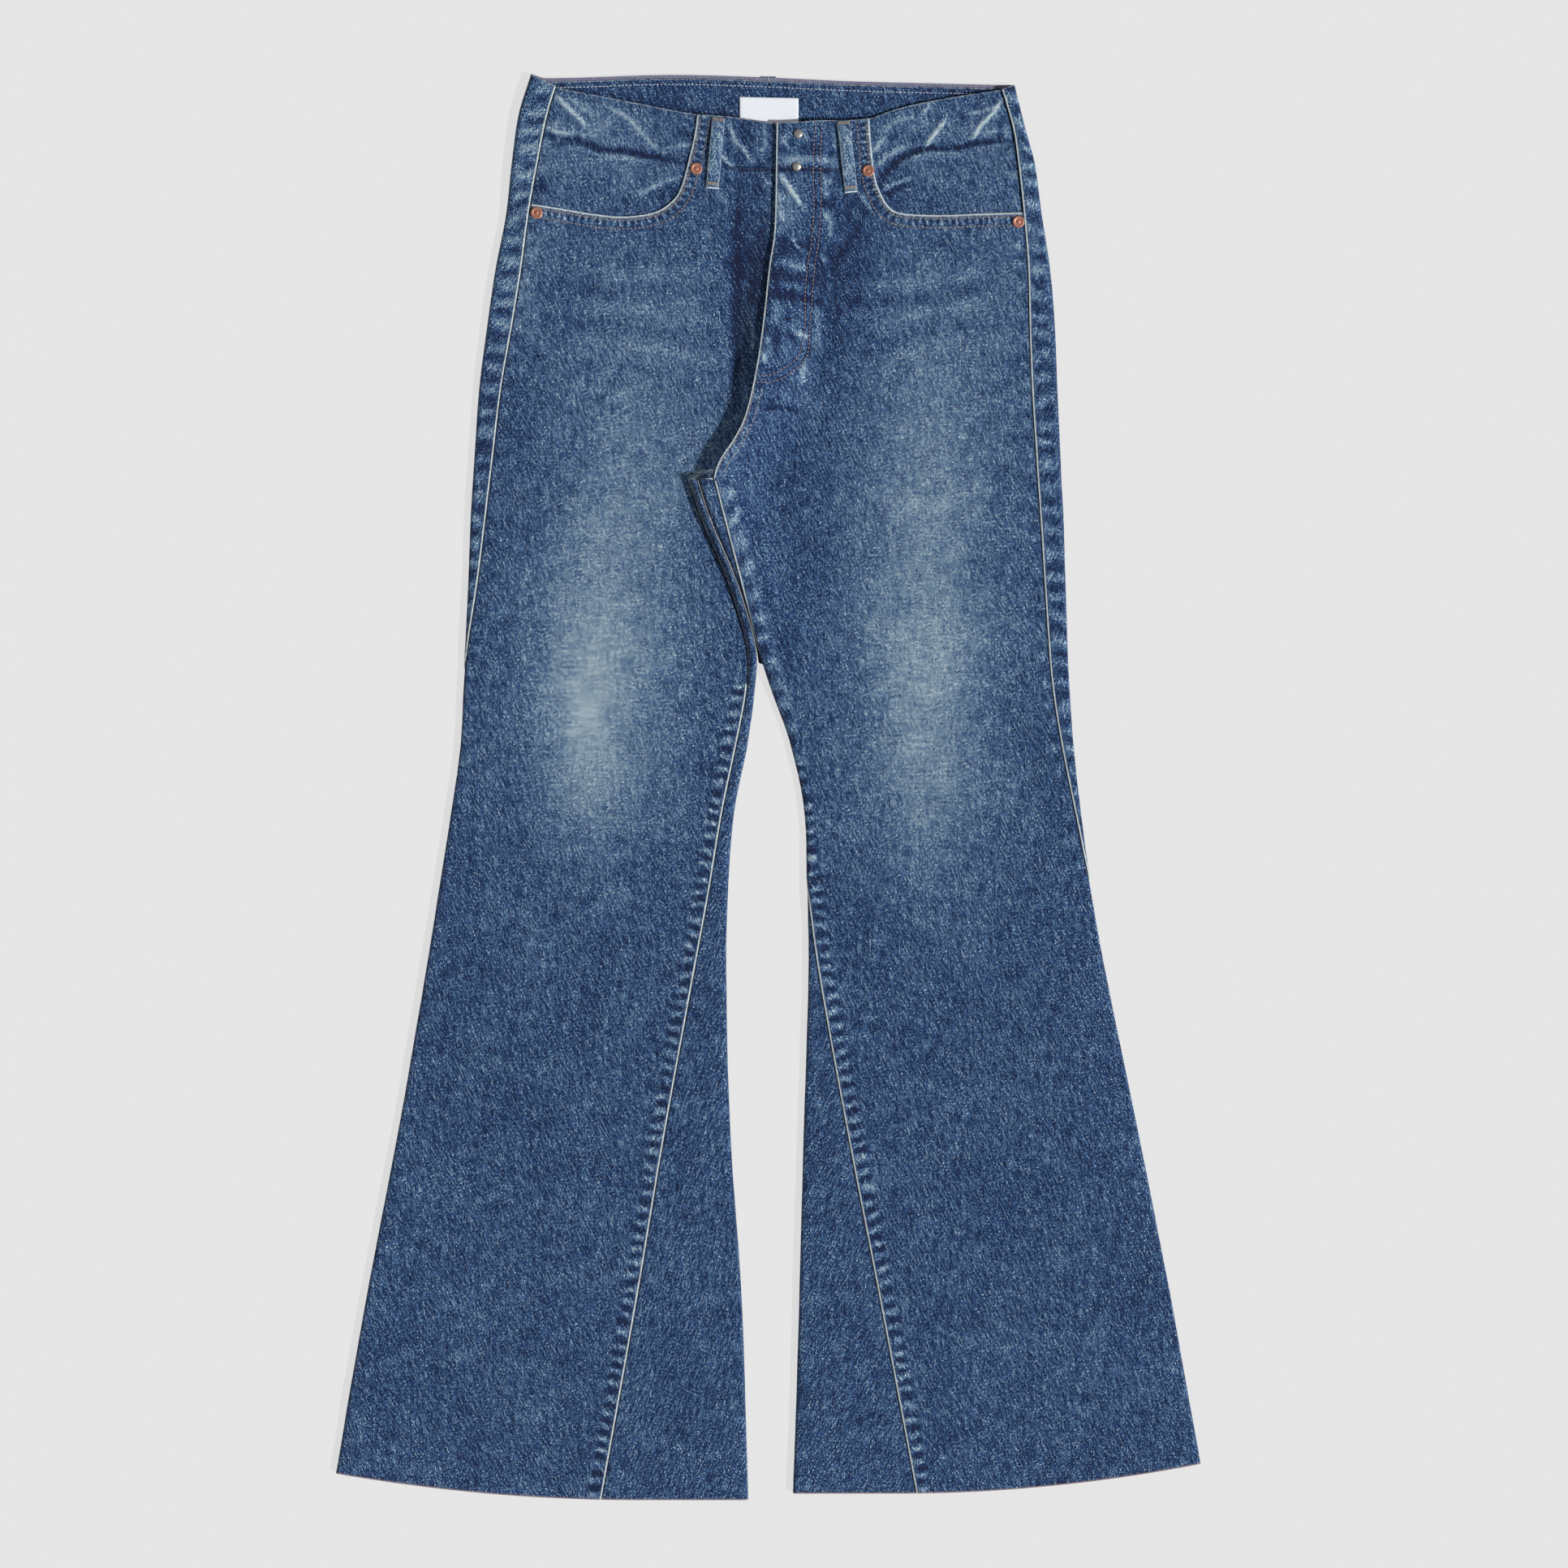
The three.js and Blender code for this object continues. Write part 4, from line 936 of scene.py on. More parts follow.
fly_y = np.arange(FLY_BOTTOM + 2.0, 514, 3.0)
fly_t = np.clip((fly_y - FLY_BOTTOM) / (FLY_CURVE_FROM - FLY_BOTTOM), 0, 1)
fly_x = centre_front(fly_y) + (FLY_WIDTH - 2) * np.sqrt(1 - (1 - fly_t) ** 2) - 1
fly_edge = [(centre_front(y) + 0.6, y) for y in fly_y]
fly_top = [(x, front_waist(x) - 0.8) for x in np.linspace(fly_x[-1], fly_edge[-1][0], 12)]
fly_sides = [
    Side("cut", list(zip(fly_x, fly_y)) + [fly_top[0]]),
    Side("turned", fly_top),
    Side("lap", [fly_top[-1]] + fly_edge[::-1]),
    Side("cut", [fly_edge[0], (fly_x[0], fly_y[0])]),
]
fly_facing = cut_cloth("fly_facing_cloth", fly_sides, lay_front(left_leg, 1e-6), pitch=4)

# %% [markdown]
# ## Back panels
# A back panel starts at the strip beside the outseam, goes round the side of the leg and across the underside, and
# below the crotch it comes up again at the inner side and ends in the strip beside the inseam. Its flat outline is
# drawn as seen from above, so it is turned over to face down.

# %% Outlines of the backs
def back_start(leg, y):
    return over_cloth(leg.outseam(y) - GAP)


def back_centre(leg, y):
    return over_cloth(np.abs(centre_back(y) - leg.outer(y)) - GAP)


def back_end(leg, y):
    return leg.over_top(y) + over_cloth(leg.inseam(y) - GAP)


def back_edge(leg, along, x, y):
    """Height of the waist edge of a back panel: one line on the strip and another one on the underside."""
    seam, side = STRIP_TOP[leg.name]
    on_strip = side + (seam - side) * np.clip(along / over_cloth(leg.outseam(y)), 0, 1)
    below = side + (back_waist(x) - side) * (1 - fading(-along, 14))
    return np.where(along > 0, on_strip, below)


def back_waist_line(leg, count=110):
    points = []
    for share in np.linspace(0, 1, count):
        y = np.float64(548)
        for _ in range(5):
            start = -back_start(leg, y)
            around = start + share * (back_centre(leg, y) - start)
            x, _ = section(leg, -around, y)
            y = np.float64(back_edge(leg, -around, x, y))
        points.append((float(flat_u(leg, around, y)), float(y)))
    return points


def back_hem_line(leg, count=260):
    points = []
    for share in np.linspace(0, 1, count):
        y = np.float64(HEM[leg.name][0])
        for _ in range(5):
            start = -back_start(leg, y)
            around = start + share * (back_end(leg, y) - start)
            x, _, _, _ = back_point(leg, around, y)
            y = hem(leg, x)
        points.append((float(flat_u(leg, around, y)), float(y)))
    return points


def back_point(leg, around, y):
    """A place on the back cloth, counted from the outer side of the leg over the underside and on round it."""
    around, y = np.broadcast_arrays(np.asarray(around, float), np.asarray(y, float))
    wraps = (y <= CROTCH_Y) & (around > leg.over_top(y) - QUARTER)
    beyond = 2 * leg.over_top(y) - around
    x0, z0 = section(leg, -around, y)
    x1, z1 = section(leg, beyond, y, strip=True)
    ox0, oz0 = outward(leg, -around, y)
    ox1, oz1 = outward(leg, beyond, y, strip=True)
    pick = lambda a, b: np.where(wraps, b, a)
    return pick(x0, x1), pick(z0, z1), pick(ox0, ox1), pick(oz0, oz1)


def back_sides(leg):
    hem_points = back_hem_line(leg)
    waist_points = back_waist_line(leg)
    all_y = np.arange(hem_points[0][1] + 1.5, waist_points[0][1] - 1, 3.0)
    outseam = [(float(flat_u(leg, -back_start(leg, y), y)), y) for y in all_y]
    seat_y = np.arange(waist_points[-1][1] - 1, CROTCH_Y + 0.4, -3.0)
    seat = [(float(flat_u(leg, back_centre(leg, y), y)), y) for y in seat_y]
    low_y = np.arange(CROTCH_Y - 0.3, hem_points[-1][1] + 1.5, -3.0)
    inseam = [(float(flat_u(leg, back_end(leg, y), y)), y) for y in low_y]
    upper = [p for p in inseam if p[1] >= TUCKED_FROM]
    lower = [p for p in inseam if p[1] < TUCKED_FROM]
    turn_u = leg.outer(548.0) - leg.inwards * BEND
    on_strip = [leg.inwards * (u - turn_u) < 0 for u, _ in waist_points]
    count = sum(on_strip) + 1
    strip_top, waist_under = waist_points[:count], waist_points[count - 1 :]
    return [
        Side("lap", [hem_points[0]] + outseam + [waist_points[0]], 17, 16, 0.65),
        Side("turned", strip_top),
        Side("ridge", waist_under),
        Side("lap" if leg is left_leg else "under", [waist_points[-1]] + seat, 10, 10, 0.5),
        Side("lap", [seat[-1], inseam[0]]),
        Side("turned" if leg is right_leg else "under", upper),
        Side("under", [upper[-1]] + lower + [hem_points[-1]], 10.5, 6, 0.3),
        Side("raw", hem_points[::-1]),
    ]


def lay_back(leg):
    def lay(u, v, known):
        x, z, out_x, out_z = back_point(leg, along_from(leg, u, v), v)
        beside = np.where(v < CROTCH_Y + 1, fading(np.abs(x - leg.inner(v)), 3.2), 0) * fading(100 - v, 30)
        place, tone = draped(x, v, z, out_x, out_z, known, calm=1 - beside)
        if leg is left_leg:
            place[:, 0] -= beside * np.maximum(left_leg.inner(v) - right_leg.inner(v) - 0.2, 0) * (v > 95)
        return place, tone

    return lay


# %% Cut and lay the backs
backs = {}
for leg in (right_leg, left_leg):
    backs[leg.name] = cut_cloth(f"back_{leg.name}_cloth", back_sides(leg), lay_back(leg), pitch=5, flip=True,
                                folds=fold_places(leg))

# %% [markdown]
# ## Inside of the waist
# Above the front's waist edge the inside of the back waist shows: a dark facing with one white stitch line, and a
# bare white woven label sewn on by its corners.

# %% Waist facing and label
FACING_RIGHT, FACING_LEFT, FACING_DEPTH = -171, 183, 46
INSIDE_TOP = STEP_DOWN + 2 * CLOTH + SEAM_GAP
LABEL_WIDTH, LABEL_DEPTH, LABEL_THICK = 45.5, 27, 0.6


def lay_facing(u, v, known):
    wavy = 0.25 * waves(u, v, 40, 5) - 0.2 * fading(np.abs(v - back_waist(u) + 7.5), 3)
    roll = ROLL_OFF * fading(known["turned"], 1.2)
    above_front = v - front_waist(u)
    # painted shade: the facing is darker just above the front's waist edge, where that edge shades it
    tone = -0.05 + 0.06 * waves(u, v, 34, 11) - 0.24 * fading(np.maximum(above_front, 0), 6)
    return np.stack([u, v, INSIDE_TOP + wavy - roll], axis=1), tone


across = np.linspace(FACING_RIGHT, FACING_LEFT, 90)
facing_top = [(x, back_waist(x) - 3.0) for x in across]
facing_low = [(x, back_waist(x) - FACING_DEPTH) for x in across[::-1]]
inside_sides = [
    Side("turned", facing_top[::-1]),
    Side("cut", [facing_top[0], facing_low[-1]]),
    Side("cut", facing_low[::-1]),
    Side("cut", [facing_low[0], facing_top[-1]]),
]
waist_inside = cut_cloth("waist_facing_cloth", inside_sides, lay_facing, pitch=3.6)


def lay_label(u, v, known):
    top = INSIDE_TOP + 0.3 + LABEL_THICK
    curl = 0.35 * waves(u, v, 30, 2)
    tilt = 0.022 * (u - LABEL_X)
    roll = 0.25 * fading(known["turned"], 0.9)
    return np.stack([u, v - tilt, top + curl + 0.35 - roll], axis=1), 0 * u


low_x, high_x, low_y = LABEL_X - LABEL_WIDTH / 2, LABEL_X + LABEL_WIDTH / 2, LABEL_TOP - LABEL_DEPTH
label_corners = [(low_x, low_y), (high_x, low_y), (high_x, LABEL_TOP), (low_x, LABEL_TOP)]
label_sides = [Side("turned", [label_corners[k], label_corners[(k + 1) % 4]]) for k in range(4)]
bare_label = cut_cloth("bare_label", label_sides, lay_label, 2.5, 1.5, (0.5, 1.2, 2.4), LABEL_THICK)

# %% [markdown]
# ## Belt loops
# A loop is a folded strap. It is sewn down at the waist edge and again at its foot, and stands a little off the
# cloth between them, so its height comes from the cloth under it.

# %% Find the top of the cloth
from mathutils.bvhtree import BVHTree


def surface_of(pieces):
    found = []
    for piece in pieces:
        verts = [v.co for v in piece.data.vertices]
        found.append(BVHTree.FromPolygons(verts, [tuple(p.vertices) for p in piece.data.polygons]))
    return found


def height_on(surfaces, x, y, otherwise=LAY):
    """Height in millimetres of the uppermost cloth at a place."""
    start = Vector((x * MM, y * MM, 0.1)) + Vector(SHIFT)
    hits = [surface.ray_cast(start, Vector((0, 0, -1)))[0] for surface in surfaces]
    heights = [hit.z / MM for hit in hits if hit]
    return max(heights) if heights else otherwise


upper_cloth = surface_of([*fronts.values(), *facings.values(), *backs.values(), waist_inside])

# %% Front loops
LOOP_WIDTH, LOOP_THICK, LOOP_SLOT = 10, 1.2, 1.4
FRONT_LOOPS = {
    "belt_loop_front_right": ((-38.6, 519), (-43.6, 464)),
    "belt_loop_front_left": ((58, 516.5), (64.3, 461)),
}


def loop_sides(width, length):
    half = width / 2
    corners = [(-half, 0), (half, 0), (half, length), (-half, length)]
    kinds = ("lap", "turned", "turned", "turned")
    return [Side(kind, [corners[k], corners[(k + 1) % 4]], 5, 3, 0) for k, kind in enumerate(kinds)]


def lay_loop(top, foot):
    top, foot = np.array(top, float), np.array(foot, float)
    length = np.hypot(*(foot - top))
    down = (foot - top) / length
    side = np.array((-down[1], down[0]))
    places = np.linspace(0, length, 24)
    seats = [max(height_on(upper_cloth, *(top + down * p + side * w)) for w in (-4, 0, 4)) for p in places]
    seats = np.convolve(np.pad(seats, 2, mode="edge"), np.ones(5) / 5, "valid")

    def lay(u, v, known):
        share = np.clip(1 - v / length, 0, 1)
        place = top + np.outer(share * length, down) + np.outer(u, side)
        seat = np.interp(share * length, places, seats)
        stand = LOOP_SLOT * np.sin(math.pi * share) ** 0.6
        crown = 0.35 * (1 - (u / LOOP_WIDTH * 2) ** 2)
        rolled = 0.35 * fading(known["lap"], 0.8) + 0.5 * fading(known["turned"], 1.4)
        z = seat + SEAM_GAP + stand + LOOP_THICK + crown - rolled + 0.12 * waves(*place.T, 7, 4)
        tone = 0.02 + 0.08 * np.sin(math.pi * share) ** 2 + 0.16 * waves(*place.T, 6, 6)
        return np.column_stack([place, z]), tone

    return lay, length


loops = {}
for name, (top, foot) in FRONT_LOOPS.items():
    lay, length = lay_loop(top, foot)
    loops[name] = cut_cloth(f"{name}_strap", loop_sides(LOOP_WIDTH, length), lay, 1.8, 1.2, (0.5, 1.3, 2.4), 1.1)

# %% Loop at the centre back
BACK_LOOP_X, BACK_LOOP_WIDTH, BACK_LOOP_LENGTH = -0.6, 12.4, 56
back_loop_top = back_waist(np.float64(BACK_LOOP_X)) + 1.2


def lay_back_loop(u, v, known):
    rolled = 0.04 * fading(known["lap"], 1) + 0.04 * fading(known["turned"], 1.2)
    y = back_loop_top - BACK_LOOP_LENGTH + v
    return np.stack([BACK_LOOP_X + u, y, CLOTH - rolled], axis=1), 0.1 + 0 * u


back_loop = cut_cloth("belt_loop_back_centre_strap", loop_sides(BACK_LOOP_WIDTH, BACK_LOOP_LENGTH), lay_back_loop,
                      2.4, 1.5, (0.5, 1.3, 2.4), 0.9)

# %% [markdown]
# ## Rivets and studs
# The rivets at the pocket corners are copper, with a rim, a sunk ring and a bright nub. The two fly studs are
# plain nickel domes. Each is modelled once from a cylinder, and copied to its places.

# %% Rivet and stud
RIVET_RADIUS, RIVET_HEIGHT = 4.7, 1.7
STUD_RADIUS, STUD_HEIGHT = 3.6, 2.2


def top_face(mesh):
    return max(mesh.polygons, key=lambda p: p.center.z)


def pressed_cap(name, radius, height, steps):
    """A cap pressed from sheet. steps are (share of the radius, share of the height) from the rim to the middle."""
    bpy.ops.object.select_all(action="DESELECT")
    bpy.ops.mesh.primitive_cylinder_add(vertices=28, radius=radius * MM, depth=height * 0.3 * MM)
    made = bpy.context.object
    made.name = name
    made.location.z = height * 0.15 * MM
    bpy.ops.object.transform_apply(location=True)
    for share, level in steps:
        bpy.ops.object.mode_set(mode="EDIT")
        bpy.ops.mesh.select_all(action="DESELECT")
        bpy.ops.mesh.select_mode(type="FACE")
        bpy.ops.object.mode_set(mode="OBJECT")
        face = top_face(made.data) if not steps.index((share, level)) else made.data.polygons[made.data.polygons.active]
        size = max((made.data.vertices[v].co.xy.length for v in face.vertices))
        was = face.center.z
        face.select = True
        bpy.ops.object.mode_set(mode="EDIT")
        bpy.ops.mesh.extrude_region_move(TRANSFORM_OT_translate={"value": (0, 0, level * height * MM - was)})
        scale = share * radius * MM / size
        bpy.ops.transform.resize(value=(scale, scale, 1))
        bpy.ops.object.mode_set(mode="OBJECT")
        made.data.polygons.active = next(p.index for p in made.data.polygons if p.select)
    only(made)
    bevel = made.modifiers.new("soft rim", "BEVEL")
    bevel.width = 0.12 * MM
    bevel.segments = 2
    bevel.angle_limit = math.radians(28)
    bpy.ops.object.modifier_apply(modifier="soft rim")
    bpy.ops.object.shade_smooth_by_angle(angle=math.radians(50))
    return made


RIVET_STEPS = [(0.97, 0.62), (0.86, 0.8), (0.7, 0.82), (0.5, 0.55), (0.34, 0.55), (0.3, 0.88), (0.16, 1.0)]
STUD_STEPS = [(0.95, 0.52), (0.84, 0.76), (0.62, 0.93), (0.3, 1.0)]
RIVETS = {
    "rivet_right_front": (-56, 479.6),
    "rivet_right_side": (-180, 445.5),
    "rivet_left_front": (77.4, 478),
    "rivet_left_side": (194, 438.6),
}
STUDS = {"stud_upper": (23.1, 506.1), "stud_lower": (22, 480.8)}


def placed_copy(cap, name, x, y, radius, turn):
    around = [(0, 0), (radius, 0), (-radius, 0), (0, radius), (0, -radius)]
    heights = [height_on(upper_cloth, x + dx * 0.7, y + dy * 0.7) for dx, dy in around]
    seat = np.mean(heights) + 0.05
    mesh = cap.data.copy()
    lean_x = (heights[1] - heights[2]) / (1.4 * radius)
    lean_y = (heights[3] - heights[4]) / (1.4 * radius)
    lean = Vector((-lean_x, -lean_y, 1)).to_track_quat("Z", "Y").to_matrix().to_4x4()
    place = Matrix.Translation(Vector((x * MM, y * MM, seat * MM)) + Vector(SHIFT))
    mesh.transform(place @ lean @ Matrix.Rotation(turn, 4, "Z"))
    copy = bpy.data.objects.new(name, mesh)
    bpy.context.collection.objects.link(copy)
    return copy


rivet = pressed_cap("rivet", RIVET_RADIUS, RIVET_HEIGHT, RIVET_STEPS)
stud = pressed_cap("stud", STUD_RADIUS, STUD_HEIGHT, STUD_STEPS)
metal = {}
for k, (name, (x, y)) in enumerate(RIVETS.items()):
    metal[name] = placed_copy(rivet, f"{name}_cap", x, y, RIVET_RADIUS, k * 0.7)
for k, (name, (x, y)) in enumerate(STUDS.items()):
    metal[name] = placed_copy(stud, f"{name}_dome", x, y, STUD_RADIUS, k * 0.9)
for master in (rivet, stud):
    bpy.data.objects.remove(master)
print("metal pieces:", len(metal))

# %% [markdown]
# ## Stitches
# A stitch is one short bulge of thread whose ends go down into the cloth. It is modelled once. A row of stitches
# is that mesh repeated along a line, each one laid on the cloth under it and turned along the line.

# %% One stitch
bpy.ops.object.select_all(action="DESELECT")
bpy.ops.mesh.primitive_uv_sphere_add(segments=6, ring_count=4, radius=0.5)
stitch = bpy.context.object
bpy.ops.object.mode_set(mode="EDIT")
bpy.ops.mesh.select_all(action="SELECT")
bpy.ops.transform.rotate(value=math.pi / 2, orient_axis="Y", center_override=(0, 0, 0))
bpy.ops.object.mode_set(mode="OBJECT")
STITCH_VERTS = np.array([tuple(v.co) for v in stitch.data.vertices])
STITCH_FACES = [tuple(p.vertices) for p in stitch.data.polygons]
bpy.data.objects.remove(stitch)
print("faces in a stitch:", len(STITCH_FACES))


def stitch_row(name, lines, surfaces, length=2.4, every=3.1, width=0.8, thick=0.7):
    """Rows of stitches along lines of places, as one mesh."""
    verts, faces = [], []
    for line in lines:
        dense = spread(line, every / 2)
        ends = list(zip(dense[0:-1:2], dense[1::2]))
        for start, end in ends:
            middle, way = (start + end) / 2, end - start
            way = way / (np.hypot(*way) + 1e-9)
            z0 = height_on(surfaces, *(middle - way * length / 2))
            z1 = height_on(surfaces, *(middle + way * length / 2))
            zm = height_on(surfaces, *middle)
            if max(z0, z1, zm) - min(z0, z1, zm) > 2.5:
                continue
            x, y, z = STITCH_VERTS.T
            lift = zm + 0.1 + (z1 - z0) * x + z * thick - 0.25 * (2 * x) ** 2
            place = middle + np.outer(x * length, way) + np.outer(y * width, (-way[1], way[0]))
            faces += [tuple(v + len(verts) * len(x) for v in face) for face in STITCH_FACES]
            verts.append(np.column_stack([place, lift]))
    mesh = bpy.data.meshes.new(name)
    mesh.from_pydata((np.vstack(verts) * MM + SHIFT).tolist(), [], faces)
    mesh.shade_smooth()
    row = bpy.data.objects.new(name, mesh)
    bpy.context.collection.objects.link(row)
    print(name, "stitches:", len(verts))
    return row


# %% Rows
front_surfaces = surface_of(fronts.values())
right_mouth, left_mouth = mouth_line(right_leg, RIGHT_MOUTH), mouth_line(left_leg, LEFT_MOUTH)
rise = np.array([(centre_front(y), y) for y in np.arange(309, 243, -2.0)])
rows = {
    "pocket_stitches": stitch_row("pocket_stitches", [
        *(beside(right_mouth, row)[4:-4] for row in POCKET_ROWS),
        *(beside(left_mouth, -row)[4:-4] for row in POCKET_ROWS),
    ], front_surfaces),
    "fly_stitches": stitch_row("fly_stitches", [smooth_curve(J_OUTER, 80), smooth_curve(J_INNER, 80),
                                                beside(rise, 2), beside(rise, 7.5)], front_surfaces),
    "waist_stitches": stitch_row("waist_stitches", [
        smooth_curve(seen((896, 207), (920, 208), (946, 209)), 20),
        smooth_curve(seen((953, 206), (1000, 208), (1030, 210), (1062, 212)), 20),
    ], front_surfaces),
    "inside_stitches": stitch_row("inside_stitches", [
        [(x, back_waist(x) - 7.5) for x in np.linspace(FACING_RIGHT + 6, FACING_LEFT - 6, 80)],
    ], surface_of([waist_inside]), 2.2, 3.0, 0.7, 0.5),
}

# %% Loop stitches and tacks
tack_lines = []
for name, (top, foot) in FRONT_LOOPS.items():
    top, foot = np.array(top), np.array(foot)
    down = (foot - top) / np.hypot(*(foot - top))
    side = np.array((-down[1], down[0]))
    for k in range(5):
        tack_lines.append([foot - side * 3.9 - down * (3.2 + 0.42 * k), foot + side * 3.9 - down * (3.2 + 0.42 * k)])
        tack_lines.append([top - side * 3.9 + down * (0.9 + 0.42 * k), top + side * 3.9 + down * (0.9 + 0.42 * k)])
loop_surfaces = surface_of(loops.values())
rows["loop_tacks"] = stitch_row("loop_tacks", tack_lines, loop_surfaces, 1.5, 1.7, 0.42, 0.4)

# %% [markdown]
# ## Denim
# Denim has a blue warp over a white weft, so its colour is a scale from deep indigo to bare white, and everything
# that happens to it is a step along that scale. The weave, the flecks where the white shows through, the faded
# thighs, the worn seams and the painted shade and light in creases, seam grooves and beside the folds all add to
# one tone, and a colour ramp turns the tone into colour. Patterns follow the cloth's own UV map, in real millimetres.

# %% Node helpers
def new_node(tree, kind, inputs=None, **settings):
    made = tree.nodes.new(kind)
    for key, value in settings.items():
        setattr(made, key, value)
    for key, value in (inputs or {}).items():
        if isinstance(value, bpy.types.NodeSocket):
            tree.links.new(value, made.inputs[key])
        else:
            made.inputs[key].default_value = value
    return made


def calc(tree, operation, a, b=0.0, c=0.0, clamp=False):
    return new_node(tree, "ShaderNodeMath", {0: a, 1: b, 2: c}, operation=operation, use_clamp=clamp).outputs[0]


def total(tree, *values):
    made = values[0]
    for value in values[1:]:
        made = calc(tree, "ADD", made, value)
    return made


def blur_step(tree, value, at_one, at_zero):
    """1 where the value is at_one, easing to 0 where it is at_zero."""
    keys = {"Value": value, "From Min": at_one, "From Max": at_zero, "To Min": 1.0, "To Max": 0.0}
    return new_node(tree, "ShaderNodeMapRange", keys, interpolation_type="SMOOTHSTEP").outputs[0]


def speckle(tree, place, wide, high, detail=1.0, roughness=0.5, turn=0.0):
    """Soft random spots of about wide by high millimetres, from -1 to 1 at most."""
    size = {"Vector": place, "Rotation": (0, 0, turn), "Scale": (wide, high, 1)}
    moved = new_node(tree, "ShaderNodeMapping", size, vector_type="TEXTURE")
    spots = {"Vector": moved.outputs[0], "Scale": 1.0, "Detail": detail, "Roughness": roughness}
    fac = new_node(tree, "ShaderNodeTexNoise", spots, noise_dimensions="2D").outputs[0]
    return calc(tree, "MULTIPLY_ADD", fac, 2.0, -1.0)


def new_group(name, inputs, outputs):
    tree = bpy.data.node_groups.new(name, "ShaderNodeTree")
    for key, kind in inputs.items():
        tree.interface.new_socket(key, in_out="INPUT", socket_type=kind)
    for key, kind in outputs.items():
        tree.interface.new_socket(key, in_out="OUTPUT", socket_type=kind)
    return tree, tree.nodes.new("NodeGroupInput").outputs, tree.nodes.new("NodeGroupOutput").inputs


NUMBER, VECTOR, COLOUR = "NodeSocketFloat", "NodeSocketVector", "NodeSocketColor"

# %% Weave
TWILL_PITCH = 1.15
weave, given, gives = new_group("twill_weave", {"Place": VECTOR, "WashAndShade": NUMBER}, {"Tone": NUMBER, "Height": NUMBER})
place = new_node(weave, "ShaderNodeVectorMath", {0: given["Place"], 1: (1000, 1000, 1000)}, operation="MULTIPLY")
place = place.outputs[0]
axes = new_node(weave, "ShaderNodeSeparateXYZ", {0: place}).outputs
lines = calc(weave, "SUBTRACT", calc(weave, "MULTIPLY", axes[0], 0.766), calc(weave, "MULTIPLY", axes[1], 0.643))
wobble = calc(weave, "MULTIPLY", speckle(weave, place, 3.2, 5.0), 0.35)
phase = calc(weave, "MULTIPLY", calc(weave, "ADD", lines, wobble), 2 * math.pi / TWILL_PITCH)
twill = calc(weave, "SINE", phase)
STREAK_TURN = math.radians(27)
flecks = speckle(weave, place, 0.6, 1.5, 1.0, 0.5, STREAK_TURN)
streaks = speckle(weave, place, 1.25, 10.0, 1.0, 0.5, STREAK_TURN)
slubs = speckle(weave, place, 1.1, 22.0, 1.0, 0.6)
wefts = speckle(weave, place, 18.0, 1.1, 1.0, 0.6)
grain = speckle(weave, place, 1.8, 3.8, 1.0, 0.6, STREAK_TURN)
clouds = speckle(weave, place, 13.0, 17.0, 1.0)
broad = speckle(weave, place, 52.0, 70.0, 0.0)
# WashAndShade is the tone attribute: the wash, with painted shade and painted light in places
weft_share = calc(weave, "MULTIPLY_ADD", given["WashAndShade"], 0.40, 0.10)
twill_share = calc(weave, "MULTIPLY_ADD", given["WashAndShade"], 0.45, 0.14)
fleck_share = calc(weave, "MULTIPLY_ADD", given["WashAndShade"], -0.20, 0.84)
streak_share = calc(weave, "MULTIPLY_ADD", given["WashAndShade"], -0.70, 0.44)
bright = calc(weave, "MAXIMUM", flecks, 0.0)
tone = total(
    weave,
    calc(weave, "MULTIPLY", twill, twill_share),
    calc(weave, "MULTIPLY", flecks, fleck_share),
    calc(weave, "MULTIPLY", bright, calc(weave, "MULTIPLY", bright, 0.35)),
    calc(weave, "MULTIPLY", streaks, streak_share),
    calc(weave, "MULTIPLY", grain, 0.12),
    calc(weave, "MULTIPLY", slubs, 0.20),
    calc(weave, "MULTIPLY", wefts, weft_share),
    calc(weave, "MULTIPLY", clouds, 0.07),
    calc(weave, "MULTIPLY", broad, 0.05),
)
weave.links.new(tone, gives["Tone"])
bumps = calc(weave, "MULTIPLY_ADD", flecks, 0.8, calc(weave, "MULTIPLY", twill, 0.5))
weave.links.new(bumps, gives["Height"])

# %% Wear and painted shade beside the seams
seam_names = ("lap", "under", "raw", "turned", "ridge", "frayed", "run", "beat", "pucker")
seam_look, given, gives = new_group(
    "seam_wear", {"Place": VECTOR} | {name: NUMBER for name in seam_names},
    {"Tone": NUMBER, "White": NUMBER, "Dark": NUMBER, "Brown": NUMBER, "Lilac": NUMBER},
)
place = new_node(seam_look, "ShaderNodeVectorMath", {0: given["Place"], 1: (1000, 1000, 1000)}, operation="MULTIPLY")
patchy = speckle(seam_look, place.outputs[0], 4.0, 4.0, 1.0)
grit = speckle(seam_look, place.outputs[0], 1.2, 1.2, 2.0)
rope = calc(seam_look, "SINE", calc(seam_look, "MULTIPLY", calc(seam_look, "ADD", given["run"], given["lap"]), 2 * math.pi / 1.7))
rope = calc(seam_look, "MULTIPLY_ADD", rope, 0.40, calc(seam_look, "MULTIPLY_ADD", patchy, 0.30, 0.66))
white = calc(seam_look, "MULTIPLY", blur_step(seam_look, given["lap"], 0.75, 1.3), rope)
folded = calc(seam_look, "MULTIPLY", blur_step(seam_look, given["turned"], 0.3, 1.1),
              calc(seam_look, "MULTIPLY_ADD", patchy, 0.4, 0.22))
frayed_thread = calc(seam_look, "MULTIPLY_ADD", grit, 0.9, 0.18, clamp=True)
fringe = calc(seam_look, "MULTIPLY", blur_step(seam_look, given["frayed"], 1.3, 3.0), frayed_thread)
white = calc(seam_look, "MAXIMUM", white, fringe)
